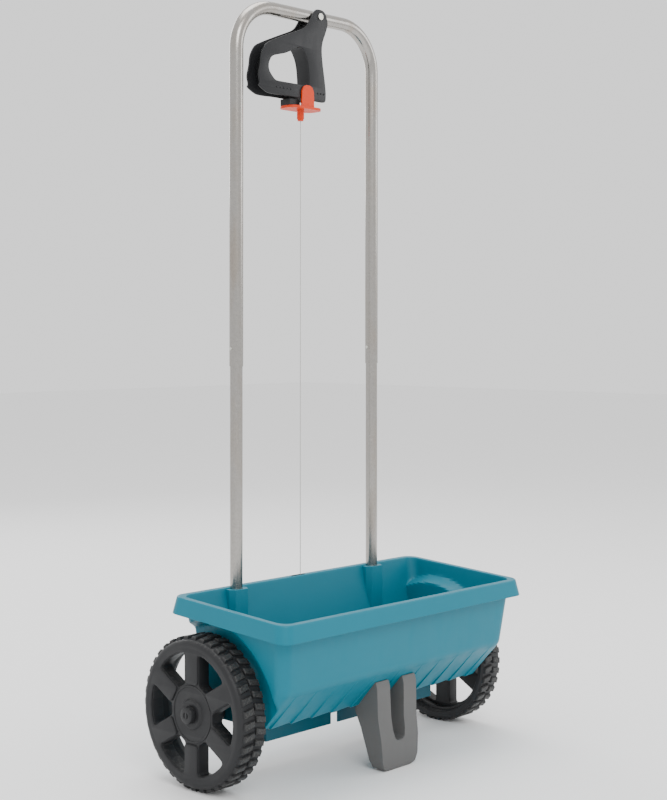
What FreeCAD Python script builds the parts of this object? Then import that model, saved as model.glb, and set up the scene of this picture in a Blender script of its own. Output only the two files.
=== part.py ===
import FreeCAD
import Part
import math
import os
import re
import Sketcher
from FreeCAD import Placement, Rotation, Vector

# Drop spreader for lawn seed and fertiliser, in millimetres.
# +Y points back to the person who pushes it, +Z is up, +X runs along the axle, and Z = 0 is the
# ground.  "Left" is the side at -X.  The design is laid out from the middle of the axle, and every
# sub-part is then shifted along Y so that the whole stands centred.

SIZES = {
    # overall
    "wheel_radius": 115,
    "wheel_face": 305,
    "wheel_width": 50,
    "rim_over_wheel": 45,
    "rim_fall": 0.06,
    "rim_half_length": 279,
    "rim_front": 172,
    "rim_back": 74,
    "handle_height": 1206,
    "handle_back": 58.7,
    "handle_half_span": 159,
    # hopper
    "wall": 2.8,
    "skirt_depth": 26,
    "skirt_flare": 5,
    "rim_lip": 8,
    "corner_radius": 20,
    "bend_rise": 43,
    "bend_front": 150,
    "keel_rise": 7.8,
    "keel_front": 98,
    "end_draft": 10,
    "well_clearance": 8,
    "well_radius_gap": 14,
    "slot_width": 14,
    "slot_length": 84,
    "slot_gap": 8,
    "gill_first": 54.7,
    "gill_pitch": 44,
    "gill_rise": 5,
    "gill_width": 16,
    # drive line
    "axle_dia": 10,
    "run_gap": 0.08,
    "loose_gap": 0.6,
    "roller_radius": 17,
    "trough_gap": 3,
    "flute_radius": 4,
    "flutes": 8,
    "hub_radius": 19,
    "cap_radius": 13,
    "cap_height": 9,
    "spoke_width": 31,
    "rim_band": 18,
    "window_inner": 44,
    "wheel_wall": 4,
    "tread_depth": 6,
    "lugs": 40,
    "lug_width": 9,
    "bush_flange": 2.5,
    "bush_wall": 3,
    "drive_pin_dia": 5,
    # outlet and shutter
    "shoe_front": 46,
    "shoe_half_length": 194,
    "shoe_depth": 31.2,
    "shoe_wall": 2.4,
    "shoe_notch": 8,
    "notch_place": 44,
    "notch_rise": 17,
    "hinge_dia": 4,
    "flap_thick": 2.2,
    "flap_front": 27,
    "arm_width": 12,
    # handle
    "upper_tube_dia": 22,
    "upper_tube_wall": 0.9,
    "lower_tube_wall": 1.1,
    "tube_fit": 0.1,
    "bend_radius": 75,
    "joint_height": 628,
    "joint_overlap": 60,
    "boss_rise": 1,
    "boss_wall": 3.9,
    "boss_depth": 111,
    "button_dia": 5,
    # grip and cord
    "pivot_right": 16,
    "pivot_dia": 6,
    "grip_gap": 1,
    "plate_thick": 3,
    "grip_drop": 142,
    "stem_left": 15.4,
    "stem_radius": 5,
    "stem_drop": 175,
    "cord_dia": 1.4,
    "cord_hold": 0.6,
    "loop_play": 5,
    "crimp_length": 5.8,
    "cord_foot_left": 3.7,
    "cord_back": 71,
    # foot
    "foot_front": 147,
    "foot_half_top": 47,
    "foot_half_toe": 41,
    "foot_thick": 27,
    "foot_top_drop": 17,
    "foot_slot_half": 17,
    "foot_slot_bottom": 44,
    # fasteners
    "screw_dia": 4,
    "screw_head": 8,
}

# Sizes that follow from the ones above.  The tub hangs on the axle, the tubes slide into each other,
# and the stem hangs from the grip.
DERIVED = {
    "floor_height": "wheel_radius - roller_radius - trough_gap - wall",
    "rim_height": "2 * wheel_radius + rim_over_wheel",
    "bend_height": "wheel_radius + bend_rise",
    "keel_height": "floor_height + keel_rise",
    "shoe_bottom": "floor_height - shoe_depth",
    "window_outer": "wheel_radius - tread_depth - rim_band",
    "lower_tube_dia": "upper_tube_dia - 2 * upper_tube_wall - 2 * tube_fit",
    "boss_radius": "lower_tube_dia / 2 + tube_fit + boss_wall",
    "boss_top": "rim_height + boss_rise",
    "boss_floor": "boss_top - boss_depth",
    "stem_bottom": "handle_height - stem_drop",
    "foot_top": "bend_height - foot_top_drop",
    "hinge_height": "floor_height - hinge_dia / 2 - 2.7",
    "cord_top": "stem_bottom + cord_hold",
    "hook_height": "hinge_height - 10",
    "cord_low": "hook_height + 2 + loop_play + crimp_length + 0.1",
    "cord_share": "(cord_top - rim_height) / (cord_top - cord_low)",
    "cord_rim_left": "stem_left + (cord_foot_left - stem_left) * cord_share",
    "cord_rim_back": "handle_back + (cord_back - handle_back) * cord_share",
}

doc = FreeCAD.newDocument("drop_spreader")
sheet = doc.addObject("Spreadsheet::Sheet", "dims")
for row, (name, value) in enumerate(SIZES.items(), start=1):
    sheet.set(f"A{row}", name)
    sheet.set(f"B{row}", str(value))
    sheet.setAlias(f"B{row}", name)
doc.recompute()

# The shift that centres the machine between the front of the rim skirt and the back of the wheels.
CENTRE = "((rim_front + skirt_flare) * cos(atan(rim_fall)) - wheel_radius) / 2"
AXLE = "wheel_radius"
NODES = []


def tied(formula):
    """Return a formula with every named size pointed at the sheet."""
    return re.sub(r"\b([a-z]+_?[a-z_]*)\b(?!\()", named, str(formula))


def named(match):
    """Return the sheet's name for a size, and leave any other word as it is."""
    word = match.group(1)
    if word in SIZES:
        return "dims." + word
    if word in DERIVED:
        return f"({tied(DERIVED[word])})"
    return word


def size(formula):
    """Return a formula's present value as a plain number."""
    value = sheet.evalExpression(tied(formula))
    return float(getattr(value, "Value", value))


def bind(thing, target, formula):
    """Tie a property to the sheet."""
    thing.setExpression(target, tied(formula))


def plane_of(body, role):
    """Return one of a body's own origin planes."""
    for feature in body.Origin.OriginFeatures:
        if feature.Role == role:
            return feature
    raise LookupError(role)


def new_body(label):
    """Make an empty body."""
    return doc.addObject("PartDesign::Body", label)


def new_sketch(body, name, role, lift="0", tilt=None):
    """Attach a sketch to an origin plane, lifted along its normal and tilted about its own x."""
    sketch = body.newObject("Sketcher::SketchObject", name)
    sketch.AttachmentSupport = [(plane_of(body, role), "")]
    sketch.MapMode = "FlatFace"
    bind(sketch, "AttachmentOffset.Base.z", lift)
    if tilt is not None:
        sketch.AttachmentOffset = Placement(Vector(), Rotation(Vector(1, 0, 0), size(tilt)))
        bind(sketch, "AttachmentOffset.Base.z", lift)
        bind(sketch, "AttachmentOffset.Rotation.Angle", tilt)
    return sketch


def pin_point(sketch, geometry, end, across, up):
    """Hold one point of a sketch at a place given by two formulas."""
    for kind, formula in (("DistanceX", across), ("DistanceY", up)):
        index = sketch.addConstraint(Sketcher.Constraint(kind, -1, 1, geometry, end, size(formula)))
        bind(sketch, f"Constraints[{index}]", formula)


def add_loop(sketch, corners):
    """Draw a closed outline of straight runs through corners given as formulas."""
    points = [Vector(size(across), size(up), 0) for across, up in corners]
    first = sketch.GeometryCount
    for start, end in zip(points, points[1:] + points[:1]):
        sketch.addGeometry(Part.LineSegment(start, end), False)
    count = len(corners)
    for step in range(count):
        following = first + (step + 1) % count
        sketch.addConstraint(Sketcher.Constraint("Coincident", first + step, 2, following, 1))
    for step, (across, up) in enumerate(corners):
        pin_point(sketch, first + step, 1, across, up)


def add_circle(sketch, across, up, radius):
    """Draw a circle whose centre and radius are formulas."""
    centre = Vector(size(across), size(up), 0)
    index = sketch.addGeometry(Part.Circle(centre, Vector(0, 0, 1), size(radius)), False)
    pin_point(sketch, index, 3, across, up)
    held = sketch.addConstraint(Sketcher.Constraint("Radius", index, size(radius)))
    bind(sketch, f"Constraints[{held}]", radius)


def add_round_box(sketch, left, right, low, high, radius):
    """Draw a rectangle with round corners, with its sides and its radius as formulas."""
    x0, x1, y0, y1, r = (size(value) for value in (left, right, low, high, radius))
    first = sketch.GeometryCount
    runs = [
        ((x0 + r, y0), (x1 - r, y0)),
        ((x1, y0 + r), (x1, y1 - r)),
        ((x1 - r, y1), (x0 + r, y1)),
        ((x0, y1 - r), (x0, y0 + r)),
    ]
    centres = [(x1 - r, y0 + r), (x1 - r, y1 - r), (x0 + r, y1 - r), (x0 + r, y0 + r)]
    for turn, (run, centre) in enumerate(zip(runs, centres)):
        (ax, ay), (bx, by) = run
        sketch.addGeometry(Part.LineSegment(Vector(ax, ay, 0), Vector(bx, by, 0)), False)
        circle = Part.Circle(Vector(*centre, 0), Vector(0, 0, 1), r)
        start = math.radians(turn * 90 - 90)
        sketch.addGeometry(Part.ArcOfCircle(circle, start, start + math.pi / 2), False)
    for turn in range(4):
        line = first + 2 * turn
        after = first + (2 * turn + 2) % 8
        sketch.addConstraint(Sketcher.Constraint("Tangent", line, 2, line + 1, 1))
        sketch.addConstraint(Sketcher.Constraint("Tangent", line + 1, 2, after, 1))
        kind = "Horizontal" if turn % 2 == 0 else "Vertical"
        sketch.addConstraint(Sketcher.Constraint(kind, line))
        held = sketch.addConstraint(Sketcher.Constraint("Radius", line + 1, r))
        bind(sketch, f"Constraints[{held}]", radius)
    places = [("DistanceY", first, low), ("DistanceX", first + 2, right)]
    places += [("DistanceY", first + 4, high), ("DistanceX", first + 6, left)]
    for kind, geometry, formula in places:
        index = sketch.addConstraint(
            Sketcher.Constraint(kind, -1, 1, geometry, 1, size(formula)))
        bind(sketch, f"Constraints[{index}]", formula)


def pad(body, name, role, near, far, draw):
    """Pad a sketch between two levels along +X, +Y or +Z, whichever its plane faces."""
    lift = f"-({far})" if role == "XZ_Plane" else near
    sketch = new_sketch(body, name + "_sketch", role, lift)
    draw(sketch)
    doc.recompute()
    feature = body.newObject("PartDesign::Pad", name)
    feature.Profile = sketch
    bind(feature, "Length", f"({far}) - ({near})")
    doc.recompute()
    return feature


def pocket(body, name, role, near, far, draw):
    """Cut a sketch's outline away between two levels along +X, +Y or +Z."""
    lift = f"-({near})" if role == "XZ_Plane" else far
    sketch = new_sketch(body, name + "_sketch", role, lift)
    draw(sketch)
    doc.recompute()
    before = body.Shape.Volume
    feature = body.newObject("PartDesign::Pocket", name)
    feature.Profile = sketch
    bind(feature, "Length", f"({far}) - ({near})")
    doc.recompute()
    if not body.Shape.Volume < before - 0.01:
        raise RuntimeError(f"{name} cuts nothing")
    return feature


def revolve_x(body, name, corners, kind="PartDesign::Revolution"):
    """Turn an outline of (x, radius) corners about the axle line."""
    sketch = new_sketch(body, name + "_sketch", "XY_Plane")
    add_loop(sketch, corners)
    doc.recompute()
    feature = body.newObject(kind, name)
    feature.Profile = sketch
    feature.ReferenceAxis = (sketch, ["H_Axis"])
    feature.Angle = 360
    doc.recompute()
    return feature


def round_edges(body, name, radius, wanted):
    """Fillet the edges of the newest feature that a test picks."""
    base = body.Tip
    edges = [f"Edge{number}" for number, edge in enumerate(base.Shape.Edges, 1) if wanted(edge)]
    feature = body.newObject("PartDesign::Fillet", name)
    feature.Base = (base, edges)
    bind(feature, "Radius", radius)
    doc.recompute()
    return feature


def repeat_round(body, name, feature, sketch_body, count):
    """Repeat a feature about the X axis of its body."""
    pattern = body.newObject("PartDesign::PolarPattern", name)
    pattern.Originals = [feature]
    axis = [item for item in sketch_body.Origin.OriginFeatures if item.Role == "X_Axis"][0]
    pattern.Axis = (axis, [""])
    pattern.Angle = 360
    bind(pattern, "Occurrences", count)
    body.Tip = pattern
    doc.recompute()
    return pattern


def along(edge, axis):
    """Tell whether a straight edge runs along one of the axes."""
    if not isinstance(edge.Curve, Part.Line):
        return False
    return abs(abs(edge.Curve.Direction.dot(axis)) - 1) < 1e-6


def cylinder(name, radius, length, place, axis="z"):
    """Make a cylinder that starts at a place and points along an axis."""
    solid = doc.addObject("Part::Cylinder", name)
    bind(solid, "Radius", radius)
    bind(solid, "Height", length)
    turns = {"x": Rotation(Vector(0, 1, 0), 90), "y": Rotation(Vector(1, 0, 0), -90), "z": Rotation()}
    solid.Placement = Placement(Vector(), turns[axis])
    for letter, formula in zip("xyz", place):
        bind(solid, f"Placement.Base.{letter}", formula)
    return solid


def box(name, low, high):
    """Make a box between two corners given as formulas."""
    solid = doc.addObject("Part::Box", name)
    for letter, target, near, far in zip("xyz", ("Length", "Width", "Height"), low, high):
        bind(solid, target, f"({far}) - ({near})")
        bind(solid, f"Placement.Base.{letter}", near)
    return solid


def cut(name, base, *tools):
    """Cut tools from a base."""
    result = base
    for number, tool in enumerate(tools):
        step = doc.addObject("Part::Cut", f"{name}_cut{number}")
        step.Base = result
        step.Tool = tool
        result = step
    return result


def fuse(name, *parts):
    """Join parts into one."""
    joined = doc.addObject("Part::MultiFuse", name + "_fuse")
    joined.Shapes = list(parts)
    return joined


def group(name, *parts):
    """Keep separate solids together as one sub-part."""
    compound = doc.addObject("Part::Compound", name + "_group")
    compound.Links = list(parts)
    return compound


def finish(label, thing, place=("0", "0", "0")):
    """Name a sub-part and put it in its place, with the shift that centres the machine."""
    thing.Label = label
    for letter, formula in zip("xyz", place):
        shifted = f"({formula}) + {CENTRE}" if letter == "y" else formula
        bind(thing, f"Placement.Base.{letter}", shifted)
    NODES.append(thing)
    doc.recompute()
    return thing


def loft(label, sections, wall_inset="0"):
    """Loft round boxes given as (height, tilt, half length, front, back, radius)."""
    body = new_body(label)
    sketches = []
    for number, (height, tilt, half, front, back, radius) in enumerate(sections):
        sketch = new_sketch(body, f"{label}_section{number}", "XY_Plane", height, tilt)
        inset = wall_inset
        add_round_box(
            sketch,
            f"-({half}) + {inset}",
            f"{half} - {inset}",
            f"-({front}) + {inset}",
            f"{back} - {inset}",
            f"{radius} - {inset} * 0.6",
        )
        sketches.append(sketch)
    doc.recompute()
    feature = body.newObject("PartDesign::AdditiveLoft", label + "_loft")
    feature.Profile = sketches[0]
    feature.Sections = sketches[1:]
    feature.Ruled = True
    doc.recompute()
    return body


# The rim's plane falls towards the front.
TILT = "atan(rim_fall)"
TROUGH = "roller_radius + trough_gap"
FLOOR = "floor_height"
TUB_HALF = "rim_half_length - rim_lip"
TUB_FRONT = "rim_front - rim_lip"
TUB_BACK = "rim_back - rim_lip"
BEND_BACK = "handle_back - 18"
KEEL_BACK = "handle_back - 28"
WELL_FACE = "wheel_face - wheel_width - well_clearance"
HINGE_Y = "shoe_front - 28"
HINGE_Z = "hinge_height"
CORD_FOOT_Z = "hook_height"


def tub_sections(rise):
    """Return the tub's sections from the rim down, with the top one raised past the rim."""
    return [
        (f"rim_height + {rise}", TILT, TUB_HALF, TUB_FRONT, TUB_BACK, "corner_radius"),
        ("bend_height", None, f"{TUB_HALF} - end_draft", "bend_front", BEND_BACK, "corner_radius - 2"),
        ("keel_height", None, f"{TUB_HALF} - end_draft - 5", "keel_front", KEEL_BACK, "corner_radius - 6"),
        (FLOOR, None, "shoe_half_length + 8", "shoe_front + 5", "shoe_front - 22", "corner_radius - 12"),
    ]


def make_hopper():
    """Build the tub with its rolled rim, wheel wells, tube sockets, gills and outlet slots."""
    shell = loft("tub_outside", tub_sections("0"))
    cavity = loft("tub_inside", tub_sections("0.01"), "wall")
    for piece, radius, face in (
        (shell, "wheel_radius + well_radius_gap", WELL_FACE),
        (cavity, "wheel_radius + well_radius_gap + wall", f"{WELL_FACE} - wall"),
    ):
        for side, near, far in (("left", f"-({TUB_HALF}) - 5", f"-({face})"),
                                ("right", face, f"{TUB_HALF} + 5")):
            pocket(piece, f"{piece.Name}_{side}_well", "YZ_Plane", near, far,
                   lambda sketch: add_circle(sketch, "0", AXLE, radius))
    # the cavity's floor stands one wall above the outside
    bind(cavity, "Placement.Base.z", "wall")
    top = ["rim_height", TILT, "rim_half_length", "rim_front", "rim_back", "corner_radius"]
    low = list(top)
    low[0] = "rim_height - skirt_depth"
    low[2:5] = ["rim_half_length + skirt_flare", "rim_front + skirt_flare", "rim_back + skirt_flare"]
    skirt = loft("rim_outside", [top, low])
    under = loft("rim_inside", [top, low], "wall")
    bind(under, "Placement.Base.z", "-wall")
    rim = cut("rim", skirt, under)
    body = fuse("tub_and_rim", shell, rim)
    mouth = loft("rim_mouth", [
        ("rim_height + wall + 3", TILT, TUB_HALF, TUB_FRONT, TUB_BACK, "corner_radius"),
        ("rim_height - wall - 2", TILT, TUB_HALF, TUB_FRONT, TUB_BACK, "corner_radius"),
    ], "wall")
    hollow = cut("hollow", body, cavity, mouth)
    trough = cylinder("trough", TROUGH, "2 * shoe_half_length", ("-shoe_half_length", "0", AXLE), "x")
    hollow = cut("trough_hollow", hollow, trough)
    sockets = []
    bores = []
    for side, sign in (("left", "-"), ("right", "")):
        spot = (f"{sign}handle_half_span", "handle_back", "boss_floor")
        sockets.append(cylinder(f"{side}_socket", "boss_radius", "boss_top - boss_floor", spot))
        bore_at = (spot[0], spot[1], "boss_floor + wall")
        bores.append(cylinder(f"{side}_socket_bore", "lower_tube_dia / 2 + tube_fit", "boss_top", bore_at))
        hole_at = (spot[0], "handle_back", "boss_floor + 30")
        bores.append(cylinder(f"{side}_socket_hole", "screw_dia / 2 + tube_fit", "boss_radius + 5",
                              hole_at, "y"))
    slots = []
    for number in range(4):
        left = f"({number} - 2) * (slot_length + slot_gap) + slot_gap / 2"
        slots.append(box(f"slot{number}", (left, "-slot_width / 2", f"{FLOOR} - 2"),
                         (f"{left} + slot_length", "slot_width / 2", AXLE)))
    bush_holes = cylinder("bush_holes", "axle_dia / 2 + run_gap + bush_wall", "2 * wheel_face",
                          ("-wheel_face", "0", AXLE), "x")
    cord_slot = box("cord_slot", CORD_SLOT_LOW, CORD_SLOT_HIGH)
    gills = [gill(number) for number in range(-5, 6)]
    solid = fuse("tub_with_sockets", hollow, *sockets, *gills)
    screw_bores = shoe_screw_shanks("floor_bore", "tube_fit", "1", "2.6")
    screw_bores.append(foot_screws("slope_bores", size("tube_fit"), 0.01))
    return finish("hopper", cut("hopper", solid, *bores, *slots, bush_holes, cord_slot, *screw_bores))


# The two corners of the slot in the rim that the cord runs through.
CORD_SLOT_LOW = ("-cord_rim_left - 22", "cord_rim_back - 2.4", "rim_height - 6")
CORD_SLOT_HIGH = ("-cord_rim_left + 9.5", "cord_rim_back + 2.4", "rim_height + 10")
# The shoe's screws, as shares of its half length, and how far back from the axle they stand.
SCREW_PLACES = ("-0.8", "-0.4", "0.4", "0.8")
SCREW_DEEP = "-shoe_front + 8"


def shoe_screw_shanks(label, gap, low, length):
    """Make the shanks, or the bores, of the screws that hold the shoe up to the tub's floor."""
    return [
        cylinder(f"{label}{number}", f"screw_dia / 2 + {gap}", length,
                 (f"{share} * shoe_half_length", SCREW_DEEP, f"{FLOOR} - {low}"))
        for number, share in enumerate(SCREW_PLACES)
    ]


# How far back the front slope runs for each millimetre that it falls.
SLOPE_RUN = "(bend_front - keel_front) / (bend_height - keel_height)"


def slope():
    """Return the middle of the tub's front slope and its outward direction, at X = 0."""
    top = Vector(0, -size("bend_front"), size("bend_height"))
    low = Vector(0, -size("keel_front"), size("keel_height"))
    run = (low - top).normalize()
    return (top + low) * 0.5, Vector(0, run.z, -run.y)


def foot_screws(name, gap, head):
    """Make the two screws, or their bores, that pass through the front slope into the foot.

    The cavity is the outside moved in and up by one wall, so the slope's own thickness is more.
    """
    middle, outward = slope()
    solids = []
    for side in (-1, 1):
        spot = middle + Vector(side * size("foot_half_top - 14"), 0, 0)
        start = spot - outward * size("wall") * (abs(outward.y) + abs(outward.z))
        shank = Part.makeCylinder(size("screw_dia") / 2 + gap, 14, start, outward)
        cap = Part.makeCylinder(size("screw_head") / 2, head, start - outward * head, outward)
        solids.append(shank.fuse(cap))
    feature = doc.addObject("Part::Feature", name)
    feature.Shape = Part.makeCompound(solids)
    return feature


def gill(number):
    """Make one gill, a wedge that thickens down the front slope."""
    body = new_body(f"gill{number + 5}")
    away = f"(gill_first + {abs(number) - 1} * gill_pitch)"
    left = "0" if number == 0 else f"{number // abs(number)} * {away}"
    right = f"{left} + gill_width"
    if number < 0:
        right = f"min({right}; -foot_half_top - tube_fit)"
    middle, outward = slope()

    def draw(sketch):
        """Draw the wedge's side."""
        add_loop(sketch, [
            ("-bend_front + 2", "bend_height"),
            ("-bend_front", "bend_height"),
            (f"-keel_front + gill_rise * {outward.y:.4f}", f"keel_height + gill_rise * {outward.z:.4f}"),
            ("-keel_front + 1", "keel_height - 0.5"),
            ("-keel_front + 2", "keel_height + 1"),
        ])
    pad(body, f"gill{number + 5}_wedge", "YZ_Plane", left, right, draw)
    return body


def make_shoe():
    """Build the outlet shoe, an open skirt under the floor that carries the shutter's hinge."""
    body = new_body("shoe_skirt")
    back = f"{HINGE_Y} + 8"
    pad(body, "shoe_block", "XY_Plane", "shoe_bottom", f"{FLOOR} - 0.2", lambda sketch: add_loop(sketch, [
        ("-shoe_half_length", "-shoe_front"),
        ("shoe_half_length", "-shoe_front"),
        ("shoe_half_length", back),
        ("-shoe_half_length", back),
    ]))
    pocket(body, "shoe_hollow", "XY_Plane", "shoe_bottom - 1", f"{FLOOR}", lambda sketch: add_loop(sketch, [
        ("-shoe_half_length + shoe_wall", "-shoe_front + shoe_wall"),
        ("shoe_half_length - shoe_wall", "-shoe_front + shoe_wall"),
        ("shoe_half_length - shoe_wall", f"{back} - shoe_wall"),
        ("-shoe_half_length + shoe_wall", f"{back} - shoe_wall"),
    ]))
    for side, sign in (("left", "-"), ("right", "")):
        pocket(body, f"{side}_notch", "XZ_Plane", "-shoe_front - 1", "-shoe_front + shoe_wall + 1",
               lambda sketch: add_loop(sketch, [
                   (f"{sign}(notch_place - shoe_notch)", "shoe_bottom - 1"),
                   (f"{sign}(notch_place + shoe_notch)", "shoe_bottom - 1"),
                   (f"{sign}(notch_place + shoe_notch)", "shoe_bottom + notch_rise"),
                   (f"{sign}(notch_place - shoe_notch)", "shoe_bottom + notch_rise"),
               ]))
    arm_gap = "(arm_width / 2 + 10)"
    pocket(body, "arm_notch", "XZ_Plane", f"{back} - shoe_wall - 1", f"{back} + 1",
           lambda sketch: add_loop(sketch, [
               (f"-cord_foot_left - {arm_gap}", "shoe_bottom - 1"),
               (f"-cord_foot_left + {arm_gap}", "shoe_bottom - 1"),
               (f"-cord_foot_left + {arm_gap}", f"{FLOOR} + 1"),
               (f"-cord_foot_left - {arm_gap}", f"{FLOOR} + 1"),
           ]))
    pocket(body, "hinge_holes", "YZ_Plane", "-wheel_face", "wheel_face",
           lambda sketch: add_circle(sketch, HINGE_Y, HINGE_Z, "hinge_dia / 2 + tube_fit / 2"))
    tabs = [
        box(f"shoe_tab{number}",
            (f"{share} * shoe_half_length - 8", "-shoe_front + shoe_wall", f"{FLOOR} - 5"),
            (f"{share} * shoe_half_length + 8", "-shoe_front + 16", FLOOR))
        for number, share in enumerate(SCREW_PLACES)
    ]
    bores = shoe_screw_shanks("tab_bore", "tube_fit", "6", "8")
    return finish("outlet_shoe", cut("outlet_shoe", fuse("shoe_with_tabs", body, *tabs), *bores))


def make_screws():
    """Build the shoe's screws and the foot's screws, each set as one node."""
    screws = []
    for number, shank in enumerate(shoe_screw_shanks("shoe_shank", "0", "5", "6.4")):
        head = cylinder(f"shoe_head{number}", "screw_head / 2", "2.4",
                        (f"{SCREW_PLACES[number]} * shoe_half_length", SCREW_DEEP, f"{FLOOR} - 7.4"))
        screws.append(fuse(f"shoe_screw{number}", shank, head))
    finish("shoe_screws", group("shoe_screws", *screws))
    finish("foot_screws", foot_screws("foot_screws_set", 0, 2.4))


def make_axle():
    """Build the axle with its bushes, washers, metering roller and pins."""
    reach = "wheel_face + cap_height / 2"
    rod = cylinder("axle_rod", "axle_dia / 2", f"2 * ({reach})", (f"-({reach})", "0", AXLE), "x")
    pin_at = "-wheel_face + wheel_width - drive_pin_dia / 2 - 1.5"
    pin_hole = cylinder("drive_pin_hole", "drive_pin_dia / 2", "60", (pin_at, "0", f"{AXLE} - 30"))
    finish("axle", cut("axle", rod, pin_hole))
    pin_half = "hub_radius - 2"
    finish("drive_pin", cylinder("drive_pin_rod", "drive_pin_dia / 2", f"2 * ({pin_half})",
                                 (pin_at, "0", f"{AXLE} - ({pin_half})")),
           (pin_at, "0", f"{AXLE} - ({pin_half})"))
    for side, turn in (("left", 180), ("right", 0)):
        body = new_body(f"{side}_axle_bush")
        bore = "axle_dia / 2 + run_gap"
        revolve_x(body, f"{side}_bush_turn", [
            ("-wall - 1", bore),
            ("bush_flange", bore),
            ("bush_flange", f"{bore} + bush_wall + 4"),
            ("0", f"{bore} + bush_wall + 4"),
            ("0", f"{bore} + bush_wall"),
            ("-wall - 1", f"{bore} + bush_wall"),
        ])
        body.Placement = Placement(Vector(), Rotation(Vector(0, 0, 1), turn))
        finish(f"{side}_axle_bush", body, (WELL_FACE if turn == 0 else f"-({WELL_FACE})", "0", AXLE))
    washers = []
    for side, sign in (("left", "-"), ("right", "")):
        start = f"{WELL_FACE} + bush_flange + loose_gap" if not sign else \
            f"-({WELL_FACE}) - bush_flange - loose_gap - 1.6"
        disc = cylinder(f"{side}_washer_disc", "axle_dia / 2 + 5", "1.6", (start, "0", AXLE), "x")
        hole = cylinder(f"{side}_washer_hole", "axle_dia / 2", "60", (f"{start} - 30", "0", AXLE), "x")
        washers.append(cut(f"{side}_washer", disc, hole))
    finish("axle_washers", group("axle_washers", *washers))
    body = new_body("metering_roller")
    roller_half = "shoe_half_length - 4"
    pad(body, "roller_core", "YZ_Plane", f"-({roller_half})", roller_half, draw_roller)
    groove = pocket(body, "roller_flute", "YZ_Plane", f"-({roller_half}) - 1", f"{roller_half} + 1",
                    lambda sketch: add_circle(sketch, "roller_radius", "0", "flute_radius"))
    repeat_round(body, "roller_flutes", groove, body, "flutes")
    finish("metering_roller", body, ("0", "0", AXLE))


def draw_roller(sketch):
    """Draw the roller's round and its bore."""
    add_circle(sketch, "0", "0", "roller_radius")
    add_circle(sketch, "0", "0", "axle_dia / 2")


def wheel_window():
    """Return the corners of one window between two spokes, as (y, z) formulas about the hub."""
    half = "spoke_width / 2"
    corners = []
    for radius in ("window_inner", "window_outer"):
        run = f"sqrt({radius} ^ 2 - ({half}) ^ 2)"
        across = f"{run} * cos(30) + {half} * sin(30)"
        up = f"{run} * sin(30) - {half} * cos(30)"
        corners.append((across, up))
    (near_y, near_z), (far_y, far_z) = corners
    return [
        (near_y, f"-({near_z})"),
        (far_y, f"-({far_z})"),
        ("window_outer", "0"),
        (far_y, far_z),
        (near_y, near_z),
    ]


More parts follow.
